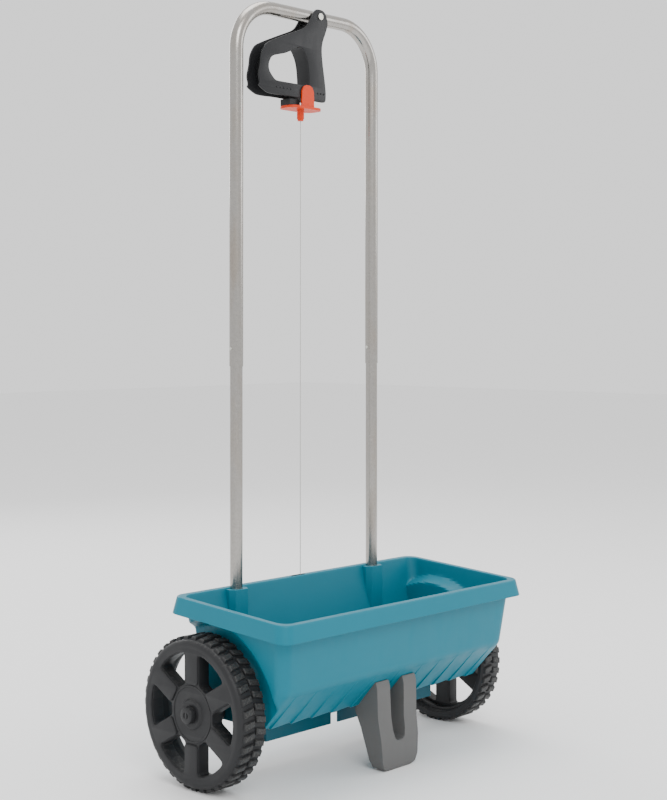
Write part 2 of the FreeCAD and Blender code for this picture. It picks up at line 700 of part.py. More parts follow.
def make_wheel(side, turn):
    """Build one wheel with its hub, six spokes and two staggered rows of lugs."""
    body = new_body(f"{side}_wheel")
    tread = "wheel_radius - tread_depth"
    bore = "axle_dia / 2 + run_gap"
    revolve_x(body, f"{side}_wheel_turn", [
        ("0", bore),
        ("0", "hub_radius"),
        ("-4", "hub_radius + 1"),
        ("-4", "window_inner - 6"),
        ("0", "window_inner - 4"),
        ("0", f"{tread} - 5"),
        ("-5", tread),
        ("-wheel_width", tread),
        ("-wheel_width", f"{tread} - wheel_wall"),
        ("-wheel_wall - 2", f"{tread} - wheel_wall - 1"),
        ("-wheel_wall - 2", "window_outer + wheel_wall - 1"),
        ("-wheel_width + 12", "window_outer + wheel_wall - 1"),
        ("-wheel_width + 12", "window_outer"),
        ("-wheel_width + 12", "hub_radius + 1"),
        ("-wheel_width", "hub_radius"),
        ("-wheel_width", bore),
    ])
    window = pocket(body, f"{side}_window", "YZ_Plane", "-wheel_width - 1", "1",
                    lambda sketch: add_loop(sketch, wheel_window()))
    repeat_round(body, f"{side}_windows", window, body, "6")
    hollow = pocket(body, f"{side}_spoke_hollow", "YZ_Plane", "-wheel_width - 1", "-wheel_wall - 4",
                    lambda sketch: add_loop(sketch, [
                        ("-spoke_width / 2 + wheel_wall", "window_inner - 8"),
                        ("spoke_width / 2 - wheel_wall", "window_inner - 8"),
                        ("spoke_width / 2 - wheel_wall", "window_outer - wheel_wall"),
                        ("-spoke_width / 2 + wheel_wall", "window_outer - wheel_wall"),
                    ]))
    repeat_round(body, f"{side}_spoke_hollows", hollow, body, "6")
    inner = size("window_inner") - 1
    outer = size("window_outer") - 1

    def is_corner(edge):
        """Tell whether an edge is a window's corner."""
        middle = edge.CenterOfMass
        reach = math.hypot(middle.y, middle.z)
        angle = math.degrees(math.atan2(middle.z, middle.y))
        off_middle = abs((angle + 30) % 60 - 30)
        return along(edge, Vector(1, 0, 0)) and reach > inner and 4 < off_middle < 20

    round_edges(body, f"{side}_window_rounds", "4",
                lambda edge: is_corner(edge) and edge.Length > size("wheel_width") / 2)
    half = "lug_width / 2"
    row = "(wheel_width - 8) / 2"
    for letter, near, turn_by in (("outer", "-2", "0"), ("inner", f"-6 - {row}", "180 / lugs")):
        low = "wheel_radius"
        high = f"{tread} - 1"
        corners = []
        for across, up in ((f"-{half}", low), (half, low), (half, high), (f"-{half}", high)):
            corners.append((
                f"{across} * cos({turn_by}) + ({up}) * sin({turn_by})",
                f"{across} * sin({turn_by}) - ({up}) * cos({turn_by})",
            ))
        near_end = f"{near} - {row}" if letter == "outer" else near
        lug = pad(body, f"{side}_{letter}_lug", "YZ_Plane", near_end, f"{near_end} + {row}",
                  lambda sketch: add_loop(sketch, corners))
        repeat_round(body, f"{side}_{letter}_lugs", lug, body, "lugs")
    slot_half = "drive_pin_dia / 2 + tube_fit"
    pocket(body, f"{side}_pin_slot", "YZ_Plane", "-wheel_width - 1", "-wheel_width + drive_pin_dia + 1.7",
           lambda sketch: add_loop(sketch, [
               (f"-({slot_half})", "-hub_radius - 2"),
               (slot_half, "-hub_radius - 2"),
               (slot_half, "hub_radius + 2"),
               (f"-({slot_half})", "hub_radius + 2"),
           ]))
    body.Placement = Placement(Vector(), Rotation(Vector(0, 0, 1), turn))
    place = "wheel_face" if turn == 0 else "-wheel_face"
    finish(f"{side}_wheel", body, (place, "0", AXLE))
    cap = new_body(f"{side}_hub_cap")
    start = "loose_gap"
    revolve_x(cap, f"{side}_cap_turn", [
        (start, "axle_dia / 2"),
        (start, "cap_radius"),
        (f"{start} + cap_height - 2", "cap_radius"),
        (f"{start} + cap_height", "cap_radius - 2"),
        (f"{start} + cap_height", "0"),
        ("cap_height / 2", "0"),
        ("cap_height / 2", "axle_dia / 2"),
    ])
    cap.Placement = Placement(Vector(), Rotation(Vector(0, 0, 1), turn))
    finish(f"{side}_hub_cap", cap, (place, "0", AXLE))


def make_shutter():
    """Build the shutter flap under the slots, its hinge pin and its spring."""
    half = "shoe_half_length - shoe_wall - 2.5"
    body = new_body("flap_plate")
    top = f"{FLOOR} - 0.4"
    pad(body, "flap_sheet", "YZ_Plane", f"-({half})", half, lambda sketch: add_loop(sketch, [
        ("-flap_front", f"{top} - flap_thick"),
        (HINGE_Y, f"{top} - flap_thick"),
        (HINGE_Y, top),
        ("-flap_front", top),
    ]))
    knuckle = cylinder("flap_knuckle", "hinge_dia / 2 + 2", f"2 * ({half})",
                       (f"-({half})", HINGE_Y, HINGE_Z), "x")
    arm = new_body("flap_arm")
    near = "-cord_foot_left - arm_width / 2"
    pad(arm, "flap_arm_bar", "YZ_Plane", near, f"{near} + arm_width",
        lambda sketch: add_loop(sketch, [
            (HINGE_Y, f"{HINGE_Z} - 3.8"),
            ("cord_back + 3.5", f"{CORD_FOOT_Z} - 3.5"),
            ("cord_back + 3.5", f"{CORD_FOOT_Z} + 1.5"),
            (f"{HINGE_Y} + 6", f"{HINGE_Z} - 1.5"),
            (f"{HINGE_Y} + 3", f"{HINGE_Z}"),
            (HINGE_Y, HINGE_Z),
        ]))
    hook = cylinder("flap_hook", "2", "arm_width + 14",
                    ("-cord_foot_left - arm_width / 2 - 7", "cord_back", CORD_FOOT_Z), "x")
    bore = cylinder("flap_bore", "hinge_dia / 2 + run_gap", "2 * wheel_face",
                    ("-wheel_face", HINGE_Y, HINGE_Z), "x")
    gap_at = "shoe_half_length * 0.4"
    spring_gap = box("flap_spring_gap", (f"{gap_at} - 8", f"{HINGE_Y} - 6", "0"),
                     (f"{gap_at} + 8", f"{HINGE_Y} + 6", FLOOR))
    leaf = fuse("flap_with_arm", body, knuckle, arm, hook)
    finish("shutter_flap", cut("shutter_flap", leaf, bore, spring_gap))
    pin_half = "shoe_half_length + 2"
    pin_at = (f"-({pin_half})", HINGE_Y, HINGE_Z)
    finish("shutter_hinge_pin",
           cylinder("hinge_pin_rod", "hinge_dia / 2", f"2 * ({pin_half})", pin_at, "x"), pin_at)
    torsion_spring(gap_at)


def torsion_spring(middle):
    """Wind the torsion spring round the hinge pin, with a leg on the shoe and one on the flap."""
    wire = 1.2
    radius = size("hinge_dia") / 2 + 0.6 + wire / 2
    length = 6 * (wire + 0.15)
    helix = Part.makeHelix(wire + 0.15, length, radius)
    profile = Part.Wire([Part.makeCircle(wire / 2, Vector(radius, 0, 0), Vector(0, 1, 0))])
    coil = Part.Wire(helix.Edges).makePipeShell([profile], True, True)
    flap_leg = Part.makeCylinder(wire / 2, 7, Vector(radius, 0, 0), Vector(0, -1, 0))
    shoe_leg = Part.makeCylinder(wire / 2, 5.4, Vector(radius, 0, length), Vector(0, 1, 0))
    spring = doc.addObject("Part::Feature", "shutter_spring_coil")
    spring.Shape = coil.fuse([flap_leg, shoe_leg])
    # the helix stands along its own Z, so it is laid along the hinge with its legs under the pin
    spring.Placement = Placement(Vector(), Rotation(Vector(0, 1, 0), 90))
    return finish("shutter_spring", spring, (f"{middle} - {length / 2:.3f}", HINGE_Y, HINGE_Z))


def make_tubes():
    """Build the two lower tubes, the U-shaped upper handle, its buttons and the socket screws."""
    buttons = []
    screws = []
    button_z = "joint_height + 28"
    for side, sign in (("left", "-"), ("right", "")):
        spot = (f"{sign}handle_half_span", "handle_back", "boss_floor + wall + 1")
        length = "joint_height + joint_overlap - boss_floor - wall - 1"
        tube = cylinder(f"{side}_tube_outside", "lower_tube_dia / 2", length, spot)
        bore = cylinder(f"{side}_tube_bore", "lower_tube_dia / 2 - lower_tube_wall", length, spot)
        hole = cylinder(f"{side}_tube_button_hole", "button_dia / 2 + tube_fit", "upper_tube_dia",
                        (f"{sign}handle_half_span - upper_tube_dia", "handle_back", button_z), "x")
        screw_hole = cylinder(f"{side}_tube_screw_hole", "screw_dia / 2 + tube_fit", "upper_tube_dia",
                              (spot[0], "handle_back", "boss_floor + 30"), "y")
        finish(f"{side}_lower_tube", cut(f"{side}_lower_tube", tube, bore, hole, screw_hole))
        buttons.append(cylinder(f"{side}_button", "button_dia / 2", "4.4",
                                (f"{sign}handle_half_span - upper_tube_dia / 2 - 1.6", "handle_back",
                                 button_z), "x"))
        shank = cylinder(f"{side}_socket_shank", "screw_dia / 2", "9",
                         (spot[0], "handle_back + boss_radius - 8.9", "boss_floor + 30"), "y")
        head = cylinder(f"{side}_socket_head", "screw_head / 2", "2.6",
                        (spot[0], "handle_back + boss_radius", "boss_floor + 30"), "y")
        screws.append(fuse(f"{side}_socket_screw", shank, head))
    finish("joint_buttons", group("joint_buttons", *buttons))
    finish("socket_screws", group("socket_screws", *screws))
    body = new_body("handle_tube")
    path = new_sketch(body, "handle_path", "XZ_Plane", "-handle_back")
    draw_handle_path(path)
    section = new_sketch(body, "handle_section", "XY_Plane", "joint_height")
    add_circle(section, "-handle_half_span", "handle_back", "upper_tube_dia / 2")
    add_circle(section, "-handle_half_span", "handle_back", "upper_tube_dia / 2 - upper_tube_wall")
    doc.recompute()
    pipe = body.newObject("PartDesign::AdditivePipe", "handle_pipe")
    pipe.Profile = section
    pipe.Spine = (path, [f"Edge{number}" for number in range(1, 6)])
    doc.recompute()
    for side, sign in (("left", "-"), ("right", "")):
        pocket(body, f"{side}_button_hole", "YZ_Plane", f"{sign}handle_half_span - upper_tube_dia",
               f"{sign}handle_half_span",
               lambda sketch: add_circle(sketch, "handle_back", button_z, "button_dia / 2 + tube_fit"))
    pocket(body, "pivot_hole", "XZ_Plane", "0", "2 * handle_back",
           lambda sketch: add_circle(sketch, "pivot_right", "handle_height", "pivot_dia / 2 + tube_fit / 2"))
    finish("upper_handle", body)


def draw_handle_path(sketch):
    """Draw the handle's centre line: up, round, across, round and down."""
    span, low, high, bend = (size(name) for name in
                             ("handle_half_span", "joint_height", "handle_height", "bend_radius"))
    sketch.addGeometry(Part.LineSegment(Vector(-span, low, 0), Vector(-span, high - bend, 0)), False)
    turn = Part.Circle(Vector(bend - span, high - bend, 0), Vector(0, 0, 1), bend)
    sketch.addGeometry(Part.ArcOfCircle(turn, math.pi / 2, math.pi), False)
    sketch.addGeometry(Part.LineSegment(Vector(bend - span, high, 0), Vector(span - bend, high, 0)), False)
    turn = Part.Circle(Vector(span - bend, high - bend, 0), Vector(0, 0, 1), bend)
    sketch.addGeometry(Part.ArcOfCircle(turn, 0, math.pi / 2), False)
    sketch.addGeometry(Part.LineSegment(Vector(span, high - bend, 0), Vector(span, low, 0)), False)
    for constraint in (("Tangent", 0, 2, 1, 2), ("Tangent", 1, 1, 2, 1), ("Tangent", 2, 2, 3, 2),
                       ("Tangent", 3, 1, 4, 1), ("Vertical", 0), ("Horizontal", 2), ("Vertical", 4)):
        sketch.addConstraint(Sketcher.Constraint(*constraint))
    for arc in (1, 3):
        held = sketch.addConstraint(Sketcher.Constraint("Radius", arc, bend))
        bind(sketch, f"Constraints[{held}]", "bend_radius")
    pin_point(sketch, 0, 1, "-handle_half_span", "joint_height")
    pin_point(sketch, 4, 2, "handle_half_span", "joint_height")
    held = sketch.addConstraint(Sketcher.Constraint("DistanceY", -1, 1, 2, 1, high))
    bind(sketch, f"Constraints[{held}]", "handle_height")


# The grip's outline and its finger opening, as (right, up) from the pivot.
GRIP_OUTLINE = (
    ("-13", "11"), ("0", "13"), ("13", "11"), ("20", "-8"), ("14", "-24"), ("3", "-44"), ("3", "-62"),
    ("14", "-grip_drop + 18"), ("14", "-grip_drop + 2"), ("10", "-grip_drop"),
    ("-112", "-grip_drop + 3"), ("-134", "-grip_drop + 10"), ("-145", "-grip_drop + 20"),
    ("-137", "-grip_drop + 30"), ("-134", "-82"), ("-124", "-62"), ("-108", "-54"),
    ("-62", "-34"), ("-34", "-24"), ("-22", "-8"),
)
GRIP_OPENING = (
    ("-28", "-78"), ("-25", "-grip_drop + 24"), ("-101", "-grip_drop + 24"), ("-116", "-grip_drop + 36"),
    ("-118", "-90"), ("-110", "-78"), ("-78", "-71"), ("-48", "-56"), ("-40", "-58"),
)


def from_pivot(corners):
    """Shift outline corners from the pivot to the sketch's origin."""
    return [(f"pivot_right + {across}", f"handle_height + {up}") for across, up in corners]


def grown(corners, margin):
    """Push each corner of a closed outline outwards along its own corner's bisector."""
    points = [Vector(size(across), size(up), 0) for across, up in corners]
    area = sum(a.x * b.y - b.x * a.y for a, b in zip(points, points[1:] + points[:1]))
    turn = 1 if area > 0 else -1
    pushed = []
    for before, point, after in zip(points[-1:] + points[:-1], points, points[1:] + points[:1]):
        arriving = (point - before).normalize()
        leaving = (after - point).normalize()
        side_in = Vector(arriving.y, -arriving.x, 0) * turn
        side_out = Vector(leaving.y, -leaving.x, 0) * turn
        bisector = (side_in + side_out) * (1 / (1 + side_in.dot(side_out)))
        pushed.append((f"{point.x:.4f} + {margin} * {bisector.x:.4f}",
                       f"{point.y:.4f} + {margin} * {bisector.y:.4f}"))
    return pushed


def make_grip():
    """Build the squeeze grip, two side plates joined by a web round the finger opening."""
    reach = "upper_tube_dia / 2 + grip_gap"
    front = f"handle_back - ({reach}) - plate_thick"
    back = f"handle_back + {reach}"
    plates = []
    for name, near in (("front", front), ("back", back)):
        body = new_body(f"grip_{name}_plate")

        def draw(sketch):
            """Draw the plate with its opening and its pivot bore."""
            add_loop(sketch, from_pivot(GRIP_OUTLINE))
            add_loop(sketch, from_pivot(GRIP_OPENING))
            add_circle(sketch, "pivot_right", "handle_height", "pivot_dia / 2 + run_gap")
        pad(body, f"grip_{name}", "XZ_Plane", near, f"{near} + plate_thick", draw)
        plates.append(body)
    web = new_body("grip_web")

    def draw_web(sketch):
        """Draw the web's ring, one plate's thickness outside the opening."""
        add_loop(sketch, from_pivot(grown(GRIP_OPENING, "plate_thick")))
        add_loop(sketch, from_pivot(GRIP_OPENING))
    pad(web, "grip_ring", "XZ_Plane", front, f"{back} + plate_thick", draw_web)
    finish("grip_lever", fuse("grip_lever", *plates, web))
    head = cylinder("pivot_head", "pivot_dia / 2 + 2.5", "1.8",
                    ("pivot_right", f"{front} - 2.1", "handle_height"), "y")
    shank = cylinder("pivot_shank", "pivot_dia / 2", f"({back}) - ({front}) + plate_thick + 4.6",
                     ("pivot_right", f"{front} - 0.4", "handle_height"), "y")
    finish("grip_pivot_pin", fuse("grip_pivot_pin", head, shank))
    nut = cylinder("pivot_nut_body", "pivot_dia / 2 + 3", "3",
                   ("pivot_right", f"{back} + plate_thick + 0.4", "handle_height"), "y")
    hole = cylinder("pivot_nut_hole", "pivot_dia / 2", "90", ("pivot_right", "0", "handle_height"), "y")
    finish("grip_pivot_nut", cut("grip_pivot_nut", nut, hole))
    return front, back


def make_adjuster(front, back):
    """Build the dose clip that straddles the grip's lower bar, and the block it slides on."""
    low = "handle_height - grip_drop"
    flange = f"{low} - 13"
    middle = "-stem_left"
    face = f"{front} - 0.4 - 2.4"
    tail = f"{back} + plate_thick + 0.4"
    parts = []
    for name, near in (("front", face), ("back", tail)):
        body = new_body(f"clip_{name}_tongue")
        pad(body, f"clip_{name}", "XZ_Plane", near, f"{near} + 2.4", lambda sketch: add_loop(sketch, [
            (f"{middle} - 14.5", flange),
            (f"{middle} + 14.5", flange),
            (f"{middle} + 13.5", f"{low} + 14"),
            (f"{middle} + 10", f"{low} + 21"),
            (f"{middle} + 4", f"{low} + 24"),
            (f"{middle} - 4", f"{low} + 24"),
            (f"{middle} - 10", f"{low} + 21"),
            (f"{middle} - 13.5", f"{low} + 14"),
        ]))
        parts.append(body)
    base = new_body("clip_base")
    pad(base, "clip_flange", "XY_Plane", f"{flange} - 2", f"{flange} + 2", lambda sketch: add_round_box(
        sketch, f"{middle} - 37", f"{middle} + 37", f"{face} - 2", f"{tail} + 4.4", "16"))
    parts.append(base)
    stem = cylinder("clip_stem", "stem_radius + 1", f"{flange} - stem_bottom - 4",
                    (middle, "handle_back", "stem_bottom + 3"))
    tip = cylinder("clip_tip", "stem_radius", "6", (middle, "handle_back", "stem_bottom"))
    parts += [stem, tip]
    bore = cylinder("clip_bore", "cord_dia / 2 + 0.35", "cord_hold + 4", (middle, "handle_back", "stem_bottom - 1"))
    finish("dose_clip", cut("dose_clip", fuse("dose_clip", *parts), bore))
    half = "upper_tube_dia / 2"
    corner = (f"{middle} - 36", f"handle_back - {half}", f"{flange} + 2")
    block = box("clip_block_box", corner, (f"{middle} - 13", f"handle_back + {half}", f"{low} - 0.4"))
    finish("clip_block", block, corner)


def make_cord():
    """Build the taut pull cord with its crimp, and its guide in the rim.

    Below the crimp a loop hangs on the shutter's hook with some play, because the arm's rise and the
    cord's rise differ a little half way through the travel.
    """
    top = Vector(-size("stem_left"), size("handle_back"), size("cord_top"))
    low = Vector(-size("cord_foot_left"), size("cord_back"), size("cord_low"))
    run = low - top
    cord = doc.addObject("Part::Feature", "cord_rod")
    cord.Shape = Part.makeCylinder(size("cord_dia") / 2, run.Length, top, run)
    finish("pull_cord", cord)
    spot = ("-cord_foot_left", "cord_back", "hook_height + 2 + loop_play")
    sleeve = cylinder("crimp_sleeve", "cord_dia / 2 + 1.3", "crimp_length", spot)
    finish("cord_crimp", sleeve, spot)
    shift = 0.25
    outer = box("guide_outer", tuple(f"{value} + {shift}" for value in CORD_SLOT_LOW),
                (f"{CORD_SLOT_HIGH[0]} - {shift}", f"{CORD_SLOT_HIGH[1]} - {shift}",
                 "rim_height + cord_rim_back * rim_fall + 0.3"))
    inner = box("guide_inner", tuple(f"{value} + {0.6 + shift}" for value in CORD_SLOT_LOW[:2]) + ("0",),
                (f"{CORD_SLOT_HIGH[0]} - {0.6 + shift}", f"{CORD_SLOT_HIGH[1]} - {0.6 + shift}", "1000"))
    finish("cord_guide", cut("cord_guide", outer, inner))


def make_foot():
    """Build the forked foot that props up the front."""
    body = new_body("foot_fork")
    pad(body, "foot_side", "YZ_Plane", "-foot_half_top", "foot_half_top", lambda sketch: add_loop(sketch, [
        (f"-bend_front + foot_top_drop * {SLOPE_RUN} - 0.2", "foot_top - 0.2"),
        ("-foot_front + 3", "foot_top - 8"),
        ("-foot_front", "20"),
        ("-foot_front + 2", "0"),
        ("-foot_front + foot_thick", "0"),
        ("-foot_front + foot_thick + 6", "32"),
        ("-foot_front + foot_thick + 16", "66"),
        ("-keel_front + 8", "keel_height - 6"),
        ("-keel_front - 0.3", "keel_height - 0.4"),
    ]))
    for side, sign in (("left", "-"), ("right", "")):
        pocket(body, f"foot_{side}_taper", "XZ_Plane", "-foot_front - 20", "0",
               lambda sketch: add_loop(sketch, [
                   (f"{sign}foot_half_toe", "-1"),
                   (f"{sign}(foot_half_top + 20)", "-1"),
                   (f"{sign}(foot_half_top + 20)", "foot_top + 20"),
                   (f"{sign}foot_half_top", "foot_top"),
                   (f"{sign}foot_half_top", "foot_top - 30"),
                   (f"{sign}(foot_half_toe + 4)", "foot_slot_bottom"),
               ]))
    pocket(body, "foot_slot", "XZ_Plane", "-foot_front - 20", "0", lambda sketch: add_loop(sketch, [
        ("-foot_slot_half + 7", "foot_slot_bottom"),
        ("foot_slot_half - 7", "foot_slot_bottom"),
        ("foot_slot_half - 3", "foot_slot_bottom + 6"),
        ("foot_slot_half", "foot_top - 20"),
        ("foot_slot_half", "foot_top + 20"),
        ("-foot_slot_half", "foot_top + 20"),
        ("-foot_slot_half", "foot_top - 20"),
        ("-foot_slot_half + 3", "foot_slot_bottom + 6"),
    ]))
    bores = foot_screws("foot_bores", size("tube_fit"), 0.01)
    finish("foot", cut("foot", body, bores))


def check_model():
    """Stop if any object failed or any sub-part is not a valid solid."""
    for thing in doc.Objects:
        if "Invalid" in thing.State or "Error" in thing.State:
            raise RuntimeError(f"{thing.Name} failed: {thing.State}")
    for thing in NODES:
        if thing.Shape.isNull() or not thing.Shape.isValid() or not thing.Shape.Solids:
            raise RuntimeError(f"{thing.Label} is not a valid solid")


def main():
    """Build every sub-part, check it and write it."""
    make_hopper()
    make_shoe()
    make_screws()
    make_axle()
    make_wheel("left", 180)
    make_wheel("right", 0)
    make_shutter()
    make_tubes()
    front, back = make_grip()
    make_adjuster(front, back)
    make_cord()
    make_foot()
    doc.recompute()
    check_model()
    os.makedirs("parts", exist_ok=True)
    for thing in NODES:
        thing.Shape.exportStep(f"parts/{thing.Label}.step")
        solids = len(thing.Shape.Solids)
        print(f"{thing.Label}: {solids} solid(s), {thing.Shape.Volume / 1000:.1f} cm3")


main()
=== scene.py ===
import logging
import math
from dataclasses import dataclass, field
from enum import Enum

import bmesh
import bpy
import numpy as np
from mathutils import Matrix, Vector


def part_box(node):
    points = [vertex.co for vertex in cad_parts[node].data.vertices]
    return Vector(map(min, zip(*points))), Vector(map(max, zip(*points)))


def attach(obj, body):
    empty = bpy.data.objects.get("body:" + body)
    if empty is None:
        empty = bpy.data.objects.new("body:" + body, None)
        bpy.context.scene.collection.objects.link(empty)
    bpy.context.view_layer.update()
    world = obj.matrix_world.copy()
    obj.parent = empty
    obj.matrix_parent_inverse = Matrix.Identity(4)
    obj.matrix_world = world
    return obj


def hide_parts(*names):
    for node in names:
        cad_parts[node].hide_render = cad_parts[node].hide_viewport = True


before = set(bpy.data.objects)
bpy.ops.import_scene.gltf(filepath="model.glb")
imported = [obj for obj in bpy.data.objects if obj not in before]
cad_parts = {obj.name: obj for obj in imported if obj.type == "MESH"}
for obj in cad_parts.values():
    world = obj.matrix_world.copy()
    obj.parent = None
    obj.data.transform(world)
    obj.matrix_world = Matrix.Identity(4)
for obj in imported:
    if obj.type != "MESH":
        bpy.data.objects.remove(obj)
log = logging.getLogger("drop_spreader")
MM = 0.001
Point = tuple[float, float]


class Plane(Enum):
    """The plane that a flat outline is drawn in, with (across, up, through) as row axes."""

    FRONT = (0, 2, 1)
    SIDE = (1, 2, 0)
    TOP = (0, 1, 2)


@dataclass(frozen=True)
class Datum:
    """The line through the middle of the axle, which every size is laid out from."""

    back: float
    up: float

    @classmethod
    def of_frame(cls) -> "Datum":
        """Return the axle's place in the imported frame, in millimetres."""
        low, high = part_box("axle")
        return cls(back=(low.y + high.y) / 2 / MM, up=(low.z + high.z) / 2 / MM)

    def metres(self, points: np.ndarray) -> np.ndarray:
        """Return points given from the axle line and the ground, in the frame's metres.

        Args:
            points: Rows of x, y from the axle and z from the ground, in millimetres.

        Returns:
            The same rows in metres in the row frame.
        """
        return (np.asarray(points, float) + (0.0, self.back, 0.0)) * MM


DATUM = Datum.of_frame()


# ---------------------------------------------------------------- shader groups


class Graph:
    """A small builder for shader nodes."""

    def __init__(self, tree: bpy.types.NodeTree) -> None:
        """Hold the tree that nodes are added to."""
        self.tree = tree

    def node(self, kind: str, **settings: object) -> bpy.types.Node:
        """Add a node and set its properties.

        Args:
            kind: The node's type name without its ShaderNode prefix.
            settings: Properties of the node.

        Returns:
            The new node.
        """
        made = self.tree.nodes.new("ShaderNode" + kind)
        for key, value in settings.items():
            setattr(made, key, value)
        return made

    def link(self, source: bpy.types.NodeSocket, target: bpy.types.NodeSocket) -> None:
        """Join two sockets."""
        self.tree.links.new(source, target)

    def feed(self, socket: bpy.types.NodeSocket, value: object) -> None:
        """Link a socket's source, or set its value."""
        if isinstance(value, bpy.types.NodeSocket):
            self.link(value, socket)
        else:
            socket.default_value = value

    def maths(self, operation: str, first: object, second: object = 0.0) -> bpy.types.NodeSocket:
        """Add a maths node and return its result."""
        made = self.node("Math", operation=operation)
        self.feed(made.inputs[0], first)
        self.feed(made.inputs[1], second)
        return made.outputs[0]

    def noise(self, vector: object, scale: object, detail: float) -> bpy.types.NodeSocket:
        """Add a noise texture and return its value."""
        made = self.node("TexNoise")
        self.feed(made.inputs["Vector"], vector)
        self.feed(made.inputs["Scale"], scale)
        made.inputs["Detail"].default_value = detail
        return made.outputs["Fac"]

    def spread(self, value: object, low: float, high: float, to: tuple[float, float]) -> bpy.types.NodeSocket:
        """Map a value's range onto another one, held at its ends."""
        made = self.node("MapRange")
        for index, number in enumerate((value, low, high, *to)):
            self.feed(made.inputs[index], number)
        return made.outputs[0]

    def mix(self, share: object, first: object, second: object, blend: str = "MIX") -> bpy.types.NodeSocket:
        """Mix two colours and return the result."""
        made = self.node("Mix", data_type="RGBA", blend_type=blend)
        self.feed(made.inputs[0], share)
        self.feed(made.inputs[6], first)
        self.feed(made.inputs[7], second)
        return made.outputs[2]

    def stretched(self, vector: object, scale: tuple[float, float, float]) -> bpy.types.NodeSocket:
        """Return a coordinate scaled along each axis."""
        made = self.node("Mapping")
        self.feed(made.inputs["Vector"], vector)
        made.inputs["Scale"].default_value = scale
        return made.outputs[0]


def new_group(name: str, inputs: dict[str, tuple[str, object]],
              outputs: dict[str, str]) -> tuple[Graph, bpy.types.Node, bpy.types.Node]:
    """Start a shader node group with named sockets.

    Args:
        name: The group's name.
        inputs: Socket name to its type and default.
        outputs: Socket name to its type.

    Returns:
        The group's builder, its input node and its output node.
    """
    tree = bpy.data.node_groups.new(name, "ShaderNodeTree")
    for label, (kind, value) in inputs.items():
        socket = tree.interface.new_socket(label, in_out="INPUT", socket_type=kind)
        socket.default_value = value
    for label, kind in outputs.items():
        tree.interface.new_socket(label, in_out="OUTPUT", socket_type=kind)
    return Graph(tree), tree.nodes.new("NodeGroupInput"), tree.nodes.new("NodeGroupOutput")


SURFACE_OUT = {"Colour": "NodeSocketColor", "Roughness": "NodeSocketFloat", "Height": "NodeSocketFloat"}


def moulded_skin() -> bpy.types.NodeTree:
    """Build the skin of moulded plastic: a fine grain, faint flow marks, dust and rubbed patches.

    Returns:
        The shader node group.
    """
    graph, inner, outer = new_group("moulded_skin", {
        "Colour": ("NodeSocketColor", (0.5, 0.5, 0.5, 1)),
        "Mottle": ("NodeSocketFloat", 0.06),
        "Grain Size": ("NodeSocketFloat", 1500.0),
        "Roughness": ("NodeSocketFloat", 0.45),
        "Dust": ("NodeSocketFloat", 0.1),
    }, SURFACE_OUT)
    at = graph.node("TexCoord").outputs["Object"]
    cloud = graph.noise(at, 14.0, 4.0)
    flow = graph.noise(graph.stretched(at, (6.0, 30.0, 30.0)), 3.0, 5.0)
    grain = graph.noise(at, inner.outputs["Grain Size"], 2.0)
    tone = graph.maths("MULTIPLY", graph.maths("SUBTRACT", cloud, 0.5), inner.outputs["Mottle"])
    tone = graph.maths("ADD", tone, graph.maths("MULTIPLY", graph.maths("SUBTRACT", flow, 0.5), 0.05))
    bright = graph.node("HueSaturation")
    graph.feed(bright.inputs["Value"], graph.maths("ADD", tone, 1.0))
    graph.feed(bright.inputs["Color"], inner.outputs["Colour"])
    normal = graph.node("NewGeometry").outputs["Normal"]
    parts = graph.node("SeparateXYZ")
    graph.link(normal, parts.inputs[0])
    facing_up = graph.spread(parts.outputs[2], 0.3, 1.0, (0.0, 1.0))
    specks = graph.spread(graph.noise(at, 260.0, 6.0), 0.5, 0.72, (0.0, 1.0))
    dust = graph.maths("MULTIPLY", graph.maths("MULTIPLY", facing_up, specks), inner.outputs["Dust"])
    graph.link(graph.mix(dust, bright.outputs[0], (0.55, 0.52, 0.47, 1)), outer.inputs["Colour"])
    streaks = graph.noise(graph.stretched(at, (1.0, 1.0, 0.35)), 60.0, 8.0)
    rubbed = graph.spread(streaks, 0.45, 0.7, (-0.03, 0.06))
    rough = graph.maths("ADD", inner.outputs["Roughness"], rubbed)
    graph.link(graph.maths("ADD", rough, graph.maths("MULTIPLY", dust, 0.5)), outer.inputs["Roughness"])
    graph.link(graph.maths("ADD", grain, graph.maths("MULTIPLY", cloud, 0.4)), outer.inputs["Height"])
    return graph.tree


